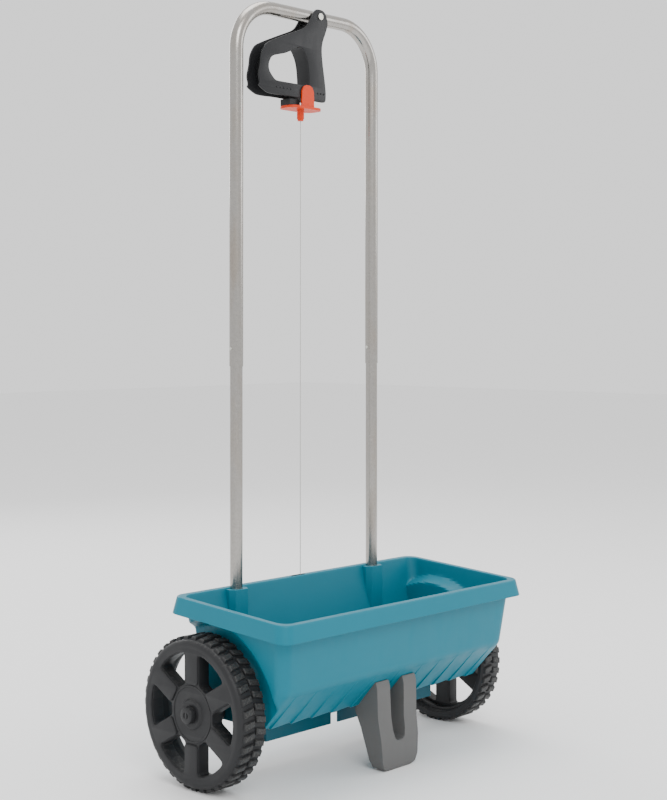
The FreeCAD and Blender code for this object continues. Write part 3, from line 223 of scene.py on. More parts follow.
def drawn_steel() -> bpy.types.NodeTree:
    """Build the skin of drawn and plated steel: lengthwise lines, spangle and a warm tarnish.

    Returns:
        The shader node group.
    """
    graph, inner, outer = new_group("drawn_steel", {
        "Colour": ("NodeSocketColor", (0.6, 0.6, 0.6, 1)),
        "Tarnish": ("NodeSocketColor", (0.5, 0.42, 0.34, 1)),
        "Tarnish Amount": ("NodeSocketFloat", 0.2),
        "Roughness": ("NodeSocketFloat", 0.25),
    }, SURFACE_OUT)
    at = graph.node("TexCoord").outputs["Object"]
    lines = graph.noise(graph.stretched(at, (900.0, 900.0, 9.0)), 1.0, 3.0)
    blotch = graph.noise(graph.stretched(at, (1.0, 1.0, 0.3)), 38.0, 6.0)
    spangle = graph.node("TexVoronoi")
    graph.link(at, spangle.inputs["Vector"])
    spangle.inputs["Scale"].default_value = 240.0
    stained = graph.spread(blotch, 0.46, 0.68, (0.0, 1.0))
    stain = graph.maths("MULTIPLY", stained, inner.outputs["Tarnish Amount"])
    shade = graph.node("HueSaturation")
    graph.feed(shade.inputs["Color"], graph.mix(stain, inner.outputs["Colour"], inner.outputs["Tarnish"]))
    graph.feed(shade.inputs["Value"], graph.spread(spangle.outputs["Distance"], 0.0, 0.8, (0.93, 1.05)))
    graph.link(shade.outputs[0], outer.inputs["Colour"])
    rough = graph.maths("ADD", inner.outputs["Roughness"], graph.spread(blotch, 0.3, 0.75, (-0.04, 0.14)))
    rough = graph.maths("ADD", rough, graph.spread(lines, 0.3, 0.7, (-0.02, 0.03)))
    graph.link(rough, outer.inputs["Roughness"])
    graph.link(lines, outer.inputs["Height"])
    return graph.tree


def lug_top_paling() -> bpy.types.NodeTree:
    """Build the paler tone of the lug tops, which grows with the distance from the axle, in patches.

    Returns:
        The shader node group.
    """
    graph, inner, outer = new_group("lug_top_paling", {
        "Colour": ("NodeSocketColor", (0.05, 0.05, 0.05, 1)),
        "Paler Tone": ("NodeSocketColor", (0.2, 0.2, 0.19, 1)),
        "Start": ("NodeSocketFloat", 0.112),
        "End": ("NodeSocketFloat", 0.115),
    }, {"Colour": "NodeSocketColor"})
    parts = graph.node("SeparateXYZ")
    at = graph.node("TexCoord").outputs["Object"]
    graph.link(at, parts.inputs[0])
    away = graph.maths("SUBTRACT", parts.outputs[1], DATUM.back * MM)
    rise = graph.maths("SUBTRACT", parts.outputs[2], DATUM.up * MM)
    squares = graph.maths("ADD", graph.maths("POWER", away, 2.0), graph.maths("POWER", rise, 2.0))
    reach = graph.maths("SQRT", squares)
    # Paler towards the lug tops: the share of the paler tone grows from Start to End in distance from the
    # axle.
    made = graph.node("MapRange")
    for index, value in enumerate((reach, inner.outputs["Start"], inner.outputs["End"], 0.0, 0.85)):
        graph.feed(made.inputs[index], value)
    patches = graph.spread(graph.noise(at, 420.0, 4.0), 0.42, 0.6, (0.1, 1.0))
    patchy = graph.maths("MULTIPLY", made.outputs[0], patches)
    graph.link(graph.mix(patchy, inner.outputs["Colour"], inner.outputs["Paler Tone"]), outer.inputs["Colour"])
    return graph.tree


class Groups:
    """The shader groups, built once each."""

    made: dict[str, bpy.types.NodeTree] = {}

    @classmethod
    def get(cls, name: str) -> bpy.types.NodeTree:
        """Return a group by its name, building it the first time."""
        builders = {"moulded_skin": moulded_skin, "drawn_steel": drawn_steel, "lug_top_paling": lug_top_paling}
        if name not in cls.made:
            cls.made[name] = builders[name]()
        return cls.made[name]


# ---------------------------------------------------------------- finishes


@dataclass(frozen=True)
class Finish:
    """What every finish shares: its name, its colour and the depth of its surface relief."""

    name: str
    colour: tuple[float, float, float]
    roughness: float = 0.45
    relief: float = 0.08

    def material(self) -> bpy.types.Material:
        """Return this finish's material, building it the first time."""
        found = bpy.data.materials.get(self.name)
        if found:
            return found
        made = bpy.data.materials.new(self.name)
        made.use_nodes = True
        graph = Graph(made.node_tree)
        shader = made.node_tree.nodes["Principled BSDF"]
        surface = self.surface(graph)
        self.dress(shader)
        graph.link(surface.outputs["Roughness"], shader.inputs["Roughness"])
        graph.link(self.tint(graph, surface.outputs["Colour"]), shader.inputs["Base Color"])
        bump = graph.node("Bump")
        bump.inputs["Strength"].default_value = self.relief
        bump.inputs["Distance"].default_value = 0.2 * MM
        graph.link(surface.outputs["Height"], bump.inputs["Height"])
        graph.link(bump.outputs[0], shader.inputs["Normal"])
        return made

    def place(self, graph: Graph, group: str, values: dict[str, object]) -> bpy.types.Node:
        """Put a shader group in the material with its own values."""
        made = graph.node("Group", node_tree=Groups.get(group))
        for label, value in values.items():
            graph.feed(made.inputs[label], value)
        return made

    def surface(self, graph: Graph) -> bpy.types.Node:
        """Return the node whose outputs are the colour, the roughness and the height."""
        raise NotImplementedError

    def tint(self, graph: Graph, colour: bpy.types.NodeSocket) -> bpy.types.NodeSocket:
        """Return the colour as it is, or with a further effect."""
        return colour

    def dress(self, shader: bpy.types.Node) -> None:
        """Set the values that are the same all over the surface."""


@dataclass(frozen=True)
class Moulded(Finish):
    """Moulded plastic."""

    mottle: float = 0.06
    grain_size: float = 1500.0
    dust: float = 0.08
    coat: float = 0.0
    # The colour that the lug tops pale towards, further from the axle.
    rubbed: tuple[float, float, float] | None = None

    def surface(self, graph: Graph) -> bpy.types.Node:
        """Return the moulded skin."""
        return self.place(graph, "moulded_skin", {
            "Colour": (*self.colour, 1), "Mottle": self.mottle, "Grain Size": self.grain_size,
            "Roughness": self.roughness, "Dust": self.dust})

    def tint(self, graph: Graph, colour: bpy.types.NodeSocket) -> bpy.types.NodeSocket:
        """Add the paler lug tops where the finish has one."""
        if self.rubbed is None:
            return colour
        made = self.place(graph, "lug_top_paling", {"Colour": colour, "Paler Tone": (*self.rubbed, 1)})
        return made.outputs["Colour"]

    def dress(self, shader: bpy.types.Node) -> None:
        """Set the gloss of the outer skin."""
        shader.inputs["Coat Weight"].default_value = self.coat
        shader.inputs["Coat Roughness"].default_value = 0.2
        shader.inputs["IOR"].default_value = 1.49
        shader.inputs["Specular IOR Level"].default_value = 0.26


@dataclass(frozen=True)
class Steel(Finish):
    """Drawn, plated steel."""

    tarnish: tuple[float, float, float] = (0.5, 0.42, 0.34)
    tarnish_amount: float = 0.2

    def surface(self, graph: Graph) -> bpy.types.Node:
        """Return the drawn skin."""
        return self.place(graph, "drawn_steel", {
            "Colour": (*self.colour, 1), "Tarnish": (*self.tarnish, 1),
            "Tarnish Amount": self.tarnish_amount, "Roughness": self.roughness})

    def dress(self, shader: bpy.types.Node) -> None:
        """Make the surface a metal."""
        shader.inputs["Metallic"].default_value = 1.0


TUB = Moulded("teal_tub", (0.0, 0.15, 0.215), roughness=0.42, relief=0.05, dust=0.01)
# Painted shade: the outlet shoe is the tub's own teal plastic, painted darker for the shade that falls under
# the tub.
SHADED_SHOE = Moulded("teal_shoe_painted_shade", (0.0, 0.085, 0.125), roughness=0.45, relief=0.06, dust=0.02)
FOOT = Moulded("grey_foot", (0.105, 0.105, 0.104), roughness=0.5, relief=0.14, mottle=0.1, grain_size=1100)
# The wheel turns paler towards its lug tops, in patches.
TYRE = Moulded("charcoal_wheel", (0.017, 0.0175, 0.019), roughness=0.5, relief=0.12,
               rubbed=(0.05, 0.05, 0.048))
BLACK = Moulded("charcoal_grip", (0.015, 0.0155, 0.017), roughness=0.42, relief=0.12, grain_size=1300)
ORANGE = Moulded("orange_clip", (0.60, 0.035, 0.0), roughness=0.42, relief=0.05, dust=0.01)
ROLLER = Moulded("black_roller", (0.02, 0.02, 0.021), roughness=0.5, relief=0.1)
NYLON = Moulded("natural_nylon", (0.7, 0.68, 0.6), roughness=0.4, relief=0.05)
TUBE = Steel("plated_tube", (0.36, 0.345, 0.325), roughness=0.2, relief=0.03, tarnish=(0.30, 0.25, 0.20),
             tarnish_amount=0.5)
BARE = Steel("bare_steel", (0.55, 0.55, 0.54), roughness=0.32, relief=0.05)
ZINC = Steel("zinc_fastener", (0.62, 0.62, 0.58), roughness=0.34, relief=0.05, tarnish=(0.55, 0.5, 0.3))
CORDAGE = Moulded("braided_cord", (0.45, 0.44, 0.42), roughness=0.8, relief=0.3, grain_size=3000)


# ---------------------------------------------------------------- mesh tools


def piece(name: str, points: np.ndarray, faces: list, finish: Finish,
          sharp: float = 32.0) -> bpy.types.Object:
    """Make a mesh object from points in metres.

    Args:
        name: The object's name.
        points: Rows of x, y, z in the row frame.
        faces: Lists of point numbers.
        finish: What the piece is finished in.
        sharp: The angle past which an edge stays crisp, in degrees.

    Returns:
        The new object.
    """
    mesh = bpy.data.meshes.new(name)
    mesh.from_pydata([tuple(map(float, p)) for p in points], [], faces)
    return settle(name, mesh, finish, sharp)


def settle(name: str, mesh: bpy.types.Mesh, finish: Finish, sharp: float) -> bpy.types.Object:
    """Clean a mesh, shade it and put it in the scene.

    Args:
        name: The object's name.
        mesh: The mesh, in the row frame.
        finish: What the piece is finished in.
        sharp: The angle past which an edge stays crisp, in degrees.

    Returns:
        The new object.
    """
    work = bmesh.new()
    work.from_mesh(mesh)
    bmesh.ops.remove_doubles(work, verts=work.verts, dist=1e-6)
    bmesh.ops.dissolve_degenerate(work, edges=work.edges, dist=1e-7)
    bmesh.ops.recalc_face_normals(work, faces=work.faces)
    work.to_mesh(mesh)
    work.free()
    mesh.materials.clear()
    mesh.materials.append(finish.material())
    mesh.polygons.foreach_set("use_smooth", [True] * len(mesh.polygons))
    mesh.set_sharp_from_angle(angle=math.radians(sharp))
    mesh.name = name
    made = bpy.data.objects.new(name, mesh)
    bpy.context.scene.collection.objects.link(made)
    return made


def join(name: str, objects: list[bpy.types.Object], finish: Finish, sharp: float = 32.0) -> bpy.types.Object:
    """Join several mesh objects into one.

    Args:
        name: The joined object's name.
        objects: The objects, which are removed.
        finish: What the joined piece is finished in.
        sharp: The angle past which an edge stays crisp, in degrees.

    Returns:
        The joined object.
    """
    work = bmesh.new()
    for made in objects:
        work.from_mesh(made.data)
    mesh = bpy.data.meshes.new(name)
    work.to_mesh(mesh)
    work.free()
    for made in objects:
        bpy.data.objects.remove(made)
    return settle(name, mesh, finish, sharp)


def softened(corners: list[Point], rounds: int = 3) -> list[Point]:
    """Cut an outline's corners again and again, which turns it into a smooth curve.

    Args:
        corners: The outline's corners.
        rounds: How many times they are cut.

    Returns:
        The smoother outline.
    """
    for _ in range(rounds):
        cut = []
        for (ax, ay), (bx, by) in zip(corners, corners[1:] + corners[:1]):
            cut.append((0.78 * ax + 0.22 * bx, 0.78 * ay + 0.22 * by))
            cut.append((0.22 * ax + 0.78 * bx, 0.22 * ay + 0.78 * by))
        corners = cut
    return corners


def filleted(corners: list[Point], radius: float, steps: int = 6) -> list[Point]:
    """Round each corner of an outline with a fixed radius.

    Args:
        corners: The outline's corners.
        radius: The fillet's radius.
        steps: Points along each fillet.

    Returns:
        The rounded outline.
    """
    rounded = []
    for before, here, after in zip(corners[-1:] + corners[:-1], corners, corners[1:] + corners[:1]):
        corner = Vector(here)
        to_before = Vector(before) - corner
        to_after = Vector(after) - corner
        half = to_before.angle(to_after) / 2
        reach = min(radius / math.tan(half), 0.48 * to_before.length, 0.48 * to_after.length)
        start = corner + to_before.normalized() * reach
        end = corner + to_after.normalized() * reach
        for step in range(steps + 1):
            share = step / steps
            spot = start * (1 - share) ** 2 + corner * 2 * share * (1 - share) + end * share ** 2
            rounded.append((spot.x, spot.y))
    return rounded


def circle(across: float, up: float, radius: float, steps: int = 48) -> list[Point]:
    """Return a circle's points."""
    turns = [2 * math.pi * step / steps for step in range(steps)]
    return [(across + radius * math.cos(a), up + radius * math.sin(a)) for a in turns]


def plate(outlines: list[list[Point]], near: float, far: float, plane: Plane, edge: float) -> bpy.types.Mesh:
    """Make a flat plate with rounded edges from an outline and its holes.

    Args:
        outlines: The outside, then each hole, as points across and up, in millimetres.
        near: Where the plate starts along the plane's third axis.
        far: Where it ends.
        plane: The plane that the outlines are drawn in.
        edge: The radius of its rounded edges.

    Returns:
        The plate as a mesh in the row frame.
    """
    curve = bpy.data.curves.new("plate", "CURVE")
    curve.dimensions = "2D"
    curve.fill_mode = "BOTH"
    curve.extrude = (abs(far - near) / 2 - edge) * MM
    curve.bevel_depth = edge * MM
    curve.bevel_resolution = 2
    curve.offset = -edge * MM
    for outline in outlines:
        spline = curve.splines.new("POLY")
        spline.points.add(len(outline) - 1)
        spline.use_cyclic_u = True
        for point, (across, up) in zip(spline.points, outline):
            point.co = (across * MM, up * MM, 0, 1)
    made = bpy.data.objects.new("plate", curve)
    bpy.context.scene.collection.objects.link(made)
    mesh = bpy.data.meshes.new_from_object(made.evaluated_get(bpy.context.evaluated_depsgraph_get()))
    bpy.data.objects.remove(made)
    flat = np.zeros(len(mesh.vertices) * 3)
    mesh.vertices.foreach_get("co", flat)
    flat = flat.reshape(-1, 3)
    placed = np.zeros_like(flat)
    across_axis, up_axis, through = plane.value
    placed[:, across_axis] = flat[:, 0]
    placed[:, up_axis] = flat[:, 1]
    placed[:, through] = flat[:, 2] + (near + far) / 2 * MM
    placed[:, 1] += DATUM.back * MM
    mesh.vertices.foreach_set("co", placed.ravel())
    return mesh


def plate_piece(name: str, outlines: list[list[Point]], near: float, far: float, plane: Plane, edge: float,
                finish: Finish) -> bpy.types.Object:
    """Make a plate as an object; its arguments are those of plate, and its finish."""
    return settle(name, plate(outlines, near, far, plane, edge), finish, 32.0)


def turned(name: str, profile: list[Point], start: float, side: int, finish: Finish,
           steps: int = 128) -> bpy.types.Object:
    """Turn a profile about the axle.

    Args:
        name: The object's name.
        profile: Corners as (outwards from start, radius), in millimetres.
        start: The distance of the profile's origin from the machine's middle.
        side: 1 for the +X side and -1 for the -X side.
        finish: What the piece is finished in.
        steps: Steps round the axle.

    Returns:
        The new object.
    """
    points, faces = [], []
    count = len(profile)
    for step in range(steps):
        angle = 2 * math.pi * step / steps
        for out, radius in profile:
            points.append((side * (start + out), radius * math.cos(angle),
                           DATUM.up + radius * math.sin(angle)))
    for step in range(steps):
        after = (step + 1) % steps
        for corner in range(count):
            following = (corner + 1) % count
            faces.append([step * count + corner, after * count + corner,
                          after * count + following, step * count + following])
    return piece(name, DATUM.metres(points), faces, finish)


def tube_along(name: str, path: np.ndarray, radius: float, finish: Finish, cyclic: bool = False,
               resolution: int = 2) -> bpy.types.Object:
    """Make a round rod along a path.

    Args:
        name: The object's name.
        path: Points in the row frame, in metres.
        radius: The rod's radius in millimetres.
        finish: What the piece is finished in.
        cyclic: Whether the path closes on itself.
        resolution: How finely the rod's round is divided.

    Returns:
        The new object.
    """
    curve = bpy.data.curves.new(name, "CURVE")
    curve.dimensions = "3D"
    curve.bevel_depth = radius * MM
    curve.bevel_resolution = resolution
    curve.use_fill_caps = not cyclic
    spline = curve.splines.new("POLY")
    spline.points.add(len(path) - 1)
    spline.use_cyclic_u = cyclic
    for point, spot in zip(spline.points, path):
        point.co = (*map(float, spot), 1)
    made = bpy.data.objects.new(name + "_path", curve)
    bpy.context.scene.collection.objects.link(made)
    mesh = bpy.data.meshes.new_from_object(made.evaluated_get(bpy.context.evaluated_depsgraph_get()))
    bpy.data.objects.remove(made)
    return settle(name, mesh, finish, 60.0)


def fit_on(made: bpy.types.Object, body: str, slot: str, *nodes: str) -> bpy.types.Object:
    """Let a piece ride on a body and hide the CAD nodes that it stands for."""
    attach(made, body)
    if nodes:
        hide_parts(*nodes)
    log.info("%s: %d faces on %s", made.name, len(made.data.polygons), body)
    return made


# ---------------------------------------------------------------- tub


@dataclass(frozen=True)
class Station:
    """One level of the tub's section: its height and the round box it follows there."""

    height: float
    half: float
    front: float
    back: float
    radius: float
    tilt: float = 0.0
    gill: float = 0.0
    soft: float = 2.0
    well: float = 0.0

    def row(self) -> np.ndarray:
        """Return the station as numbers that can be blended."""
        return np.array([self.height, self.half, self.front, self.back, self.radius, self.tilt,
                         self.gill, self.well], float)


@dataclass
class Tub:
    """The open tub with its flared rim, wheel wells, gills and tube sockets. Sizes in millimetres."""

    wall: float = 2.8
    rim_height: float = 275.0
    rim_fall: float = 0.06
    half: float = 279.0
    front: float = 172.0
    back: float = 74.0
    lip: float = 8.0
    skirt: float = 26.0
    flare: float = 5.0
    well_radius: float = 129.0
    well_face: float = 247.0
    gill_lines: list[float] = field(default_factory=lambda: sorted(
        [0.0] + [sign * (54.7 + 43.5 * step) for step in range(5) for sign in (-1, 1)]))
    gill_rise: float = 2.6
    gill_bow: float = 8.0
    slope_out: tuple[float, float] = (-0.745, -0.667)
    cord_slot: tuple[float, float, float, float] = (-28.1, 3.4, 66.1, 70.9)
    socket_at: float = 159.0
    socket_back: float = 58.7
    end_steps: int = 78
    step: float = 3.2

    def stations(self) -> list[Station]:
        """Return the section's corners, from the outside of the floor over the rim to the inside."""
        tub = self.half - self.lip
        front = self.front - self.lip
        back = self.back - self.lip
        thick = self.wall
        top = self.rim_height
        low = top - self.skirt
        flare = self.flare
        slot_low, slot_high = self.cord_slot[2:]
        return [
            Station(92.2, 202, 51, 24, 8, soft=1, well=1),
            Station(100, 256, 98, 30.7, 14, gill=1, soft=1.2, well=1),
            Station(158, tub - 10, 150, 40.7, 18, soft=7, well=1),
            Station(top - thick, tub, front, back, 20, tilt=1, soft=1.2, well=1),
            Station(top - thick, self.half - thick, self.front - thick, self.back - thick, 17.5, tilt=1,
                    soft=1, well=1),
            Station(low, self.half + flare - thick, self.front + flare - thick,
                    self.back + flare - thick, 18, tilt=1, soft=0.5, well=1),
            Station(low, self.half + flare, self.front + flare, self.back + flare, 20.5, tilt=1,
                    soft=0.9, well=1),
            Station(top, self.half, self.front, self.back, 20, tilt=1, soft=2.4, well=1),
            Station(top, tub + slot_high - back, front + slot_high - back, slot_high, 20, tilt=1,
                    soft=0.01, well=2),
            Station(top, tub + slot_low - back, front + slot_low - back, slot_low, 19.5, tilt=1,
                    soft=0.01, well=2),
            Station(top, tub - thick, front - thick, back - thick, 17.2, tilt=1, soft=1.4, well=2),
            Station(158 + thick, tub - 10 - thick, 150 - thick, 40.7 - thick, 16, soft=9, well=2),
            Station(100 + thick, 256 - thick, 98 - thick, 30.7 - thick, 12, soft=5, well=2),
            Station(92.2 + thick, 202 - thick, 51 - thick, 24 - thick, 7, soft=1, well=2),
        ]

    def levels(self) -> tuple[list[np.ndarray], list[int]]:
        """Return the section's levels, with its corners rounded and its long runs divided.

        Returns:
            The levels as rows of numbers, and the level at which each corner of the section lies.
        """
        corners = self.stations()
        rows = [corner.row() for corner in corners]
        levels: list[np.ndarray] = []
        marks = []
        for index, here in enumerate(rows):
            before, after = rows[index - 1], rows[(index + 1) % len(rows)]
            reach = []
            for other in (before, after):
                span = math.dist(here[[0, 2]], other[[0, 2]])
                reach.append(min(corners[index].soft / max(span, 1e-6), 0.45))
            start = here + (before - here) * reach[0]
            end = here + (after - here) * reach[1]
            if levels:
                self.divide(levels, start)
            if corners[index].soft < 0.1:
                marks.append(len(levels))
                levels.append(here)
                continue
            marks.append(len(levels) + 2)
            for share in (0.0, 0.25, 0.5, 0.75, 1.0):
                levels.append(start * (1 - share) ** 2 + here * 2 * share * (1 - share) + end * share ** 2)
        return levels, marks

    def divide(self, levels: list[np.ndarray], goal: np.ndarray) -> None:
        """Add levels on the way to the next corner."""
        last = levels[-1]
        span = math.dist(last[[0, 2]], goal[[0, 2]])
        count = int(span // self.step)
        for step in range(1, count + 1):
            levels.append(last + (goal - last) * step / (count + 1))

    def ring(self, level: np.ndarray) -> np.ndarray:
        """Return one level's points, all the way round.

        Args:
            level: The level's height, half length, front, back, radius, tilt, gill and well.

        Returns:
            Rows of x, y and z in millimetres from the axle line and the ground.
        """
        height, half, front, back, radius, tilt, gill, well = level
        reach = half - radius
        bow = self.gill_bow * gill ** 2
        ridges = [line - bow + past for line in self.gill_lines for past in (-0.3, 0.3, 14, 29)]
        count = len(ridges) + 2
        inside = sorted([-reach] + [x for x in ridges if abs(x) < reach - 0.5])
        across = (inside + [reach] * count)[:count]
        points = [(x, -front) for x in across]
        points += self.corner(reach, radius - front, radius, -90)
        points += [(half, y) for y in np.linspace(radius - front, back - radius, self.end_steps)]
        points += self.corner(reach, back - radius, radius, 0)
        left, right = self.cord_slot[:2]
        clear = [x for x in np.linspace(-230, 230, 24) if not left - 4 < x < right + 4]
        inner = sorted([left, right, *clear])
        points += [(x, back) for x in [reach, *reversed(inner), -reach]]
        points += self.corner(-reach, back - radius, radius, 90)
        points += [(-half, y) for y in np.linspace(back - radius, radius - front, self.end_steps)]
        points += self.corner(-reach, radius - front, radius, 180)
        flat = np.array(points)
        rise = height + tilt * self.rim_fall * flat[:, 1]
        whole = np.column_stack([flat, rise])
        if gill > 0.001:
            self.raise_gills(whole, front, gill, bow)
        self.press_wells(whole, inside=well > 1.5)
        return whole

    def corner(self, x: float, y: float, radius: float, start: float) -> list[Point]:
        """Return the inner points of a quarter turn."""
        turns = [math.radians(start + 90 * step / 11) for step in range(1, 11)]
        return [(x + radius * math.cos(a), y + radius * math.sin(a)) for a in turns]

    def raise_gills(self, points: np.ndarray, front: float, share: float, bow: float) -> None:
        """Push the front slope out to the right of each gill's line, tapering back to the next."""
        on_front = points[:, 1] < -front + 0.01
        for index in np.nonzero(on_front)[0]:
            before = [line - bow for line in self.gill_lines if line - bow <= points[index, 0] + 0.01]
            if not before:
                continue
            lift = max(0.0, 1 - (points[index, 0] - before[-1]) / 40) * self.gill_rise * share
            points[index, 1] += lift * self.slope_out[0]
            points[index, 2] += lift * self.slope_out[1]

    def press_wells(self, points: np.ndarray, inside: bool) -> None:
        """Press the ends in round the wheels, with a rolled edge to each arch."""
        radius = self.well_radius + (self.wall if inside else 0)
        face = self.well_face - (self.wall if inside else 0)
        reach = np.hypot(points[:, 1], points[:, 2] - DATUM.up)
        share = np.clip((reach - radius + 6) / 12, 0, 1)
        share = share * share * (3 - 2 * share)
        length = np.abs(points[:, 0])
        pressed = np.where(length > face, face + (length - face) * share, length)
        points[:, 0] = np.sign(points[:, 0]) * pressed

    def shell(self) -> bpy.types.Object:
        """Build the tub's closed shell, with the cord's slot through the rim.

        Returns:
            The shell as an object.
        """
        levels, marks = self.levels()
        rings = [self.ring(level) for level in levels]
        width = len(rings[0])
        back = next(j for j in range(width) if rings[marks[8]][j, 1] > self.cord_slot[3] - 0.01
                    and abs(rings[marks[8]][j, 0] - self.cord_slot[1]) < 0.01)
        top_far, top_near = marks[8], marks[9]
        under_near, under_far = marks[3], marks[4]
        faces = []
        for i in range(len(rings)):
            after = (i + 1) % len(rings)
            for j in range(width):
                following = (j + 1) % width
                in_slot = j == back and (top_far <= i < top_near or under_near <= i < under_far)
                if not in_slot:
                    faces.append([i * width + j, i * width + following,
                                  after * width + following, after * width + j])
        loops = [self.rim_of(range(low, high + 1), back, width) for low, high in
                 ((top_far, top_near), (under_near, under_far))]
        upper, lower = loops
        faces += self.bridge(upper, lower)
        return piece("hopper_shell", DATUM.metres(np.vstack(rings)), faces, TUB, sharp=24)

    def rim_of(self, rows: range, column: int, width: int) -> list[list[int]]:
        """Return the two sides of a slot's mouth as point numbers, level by level."""
        return [[row * width + column for row in rows], [row * width + column + 1 for row in rows]]

    def bridge(self, upper: list[list[int]], lower: list[list[int]]) -> list[list[int]]:
        """Join the slot's upper mouth to its lower one with its four walls.

        Args:
            upper: The upper mouth's two sides, from the far wall to the near one.
            lower: The lower mouth's two sides, from the near wall to the far one.

        Returns:
            The walls' faces.
        """
        walls = [
            [upper[0][0], upper[1][0], lower[1][-1], lower[0][-1]],
            [upper[0][-1], upper[1][-1], lower[1][0], lower[0][0]],
        ]
        for side in (0, 1):
            walls.append([*upper[side], *lower[side]])
        return walls

    def floor(self) -> bpy.types.Object:
        """Build the floor with its four outlet slots."""
        outline = filleted([(-202, -51), (202, -51), (202, 24), (-202, 24)], 8)
        holes = []
        for number in range(4):
            left = (number - 2) * 92 + 4
            holes.append(filleted([(left, -7), (left + 84, -7), (left + 84, 7), (left, 7)], 3))
        return plate_piece("floor", [outline, *holes], 92.2, 95.0, Plane.TOP, 0.3, TUB)

    def sockets(self) -> list[bpy.types.Object]:
        """Build the two faceted sockets that the tubes stand in, with their collars."""
        made = []
        for side in (-1, 1):
            middle = side * self.socket_at
            half = [(13, 44.7), (19, 55), (19, 67), (12, 72.5)]
            corners = [(middle - x, y) for x, y in reversed(half)] + [(middle + x, y) for x, y in half]
            outline = filleted(corners[1:] + corners[:1], 2.5)
            bore = circle(middle, self.socket_back, 10.2)
            made.append(plate_piece("socket", [outline, bore], 165, 277, Plane.TOP, 1.0, TUB))
        return made

    def build(self) -> bpy.types.Object:
        """Build the whole tub in place of its CAD node."""
        made = join("hopper_tub", [self.shell(), self.floor(), *self.sockets()], TUB, 24)
        return fit_on(made, "chassis", "hopper_plastic", "hopper")


# ---------------------------------------------------------------- wheels


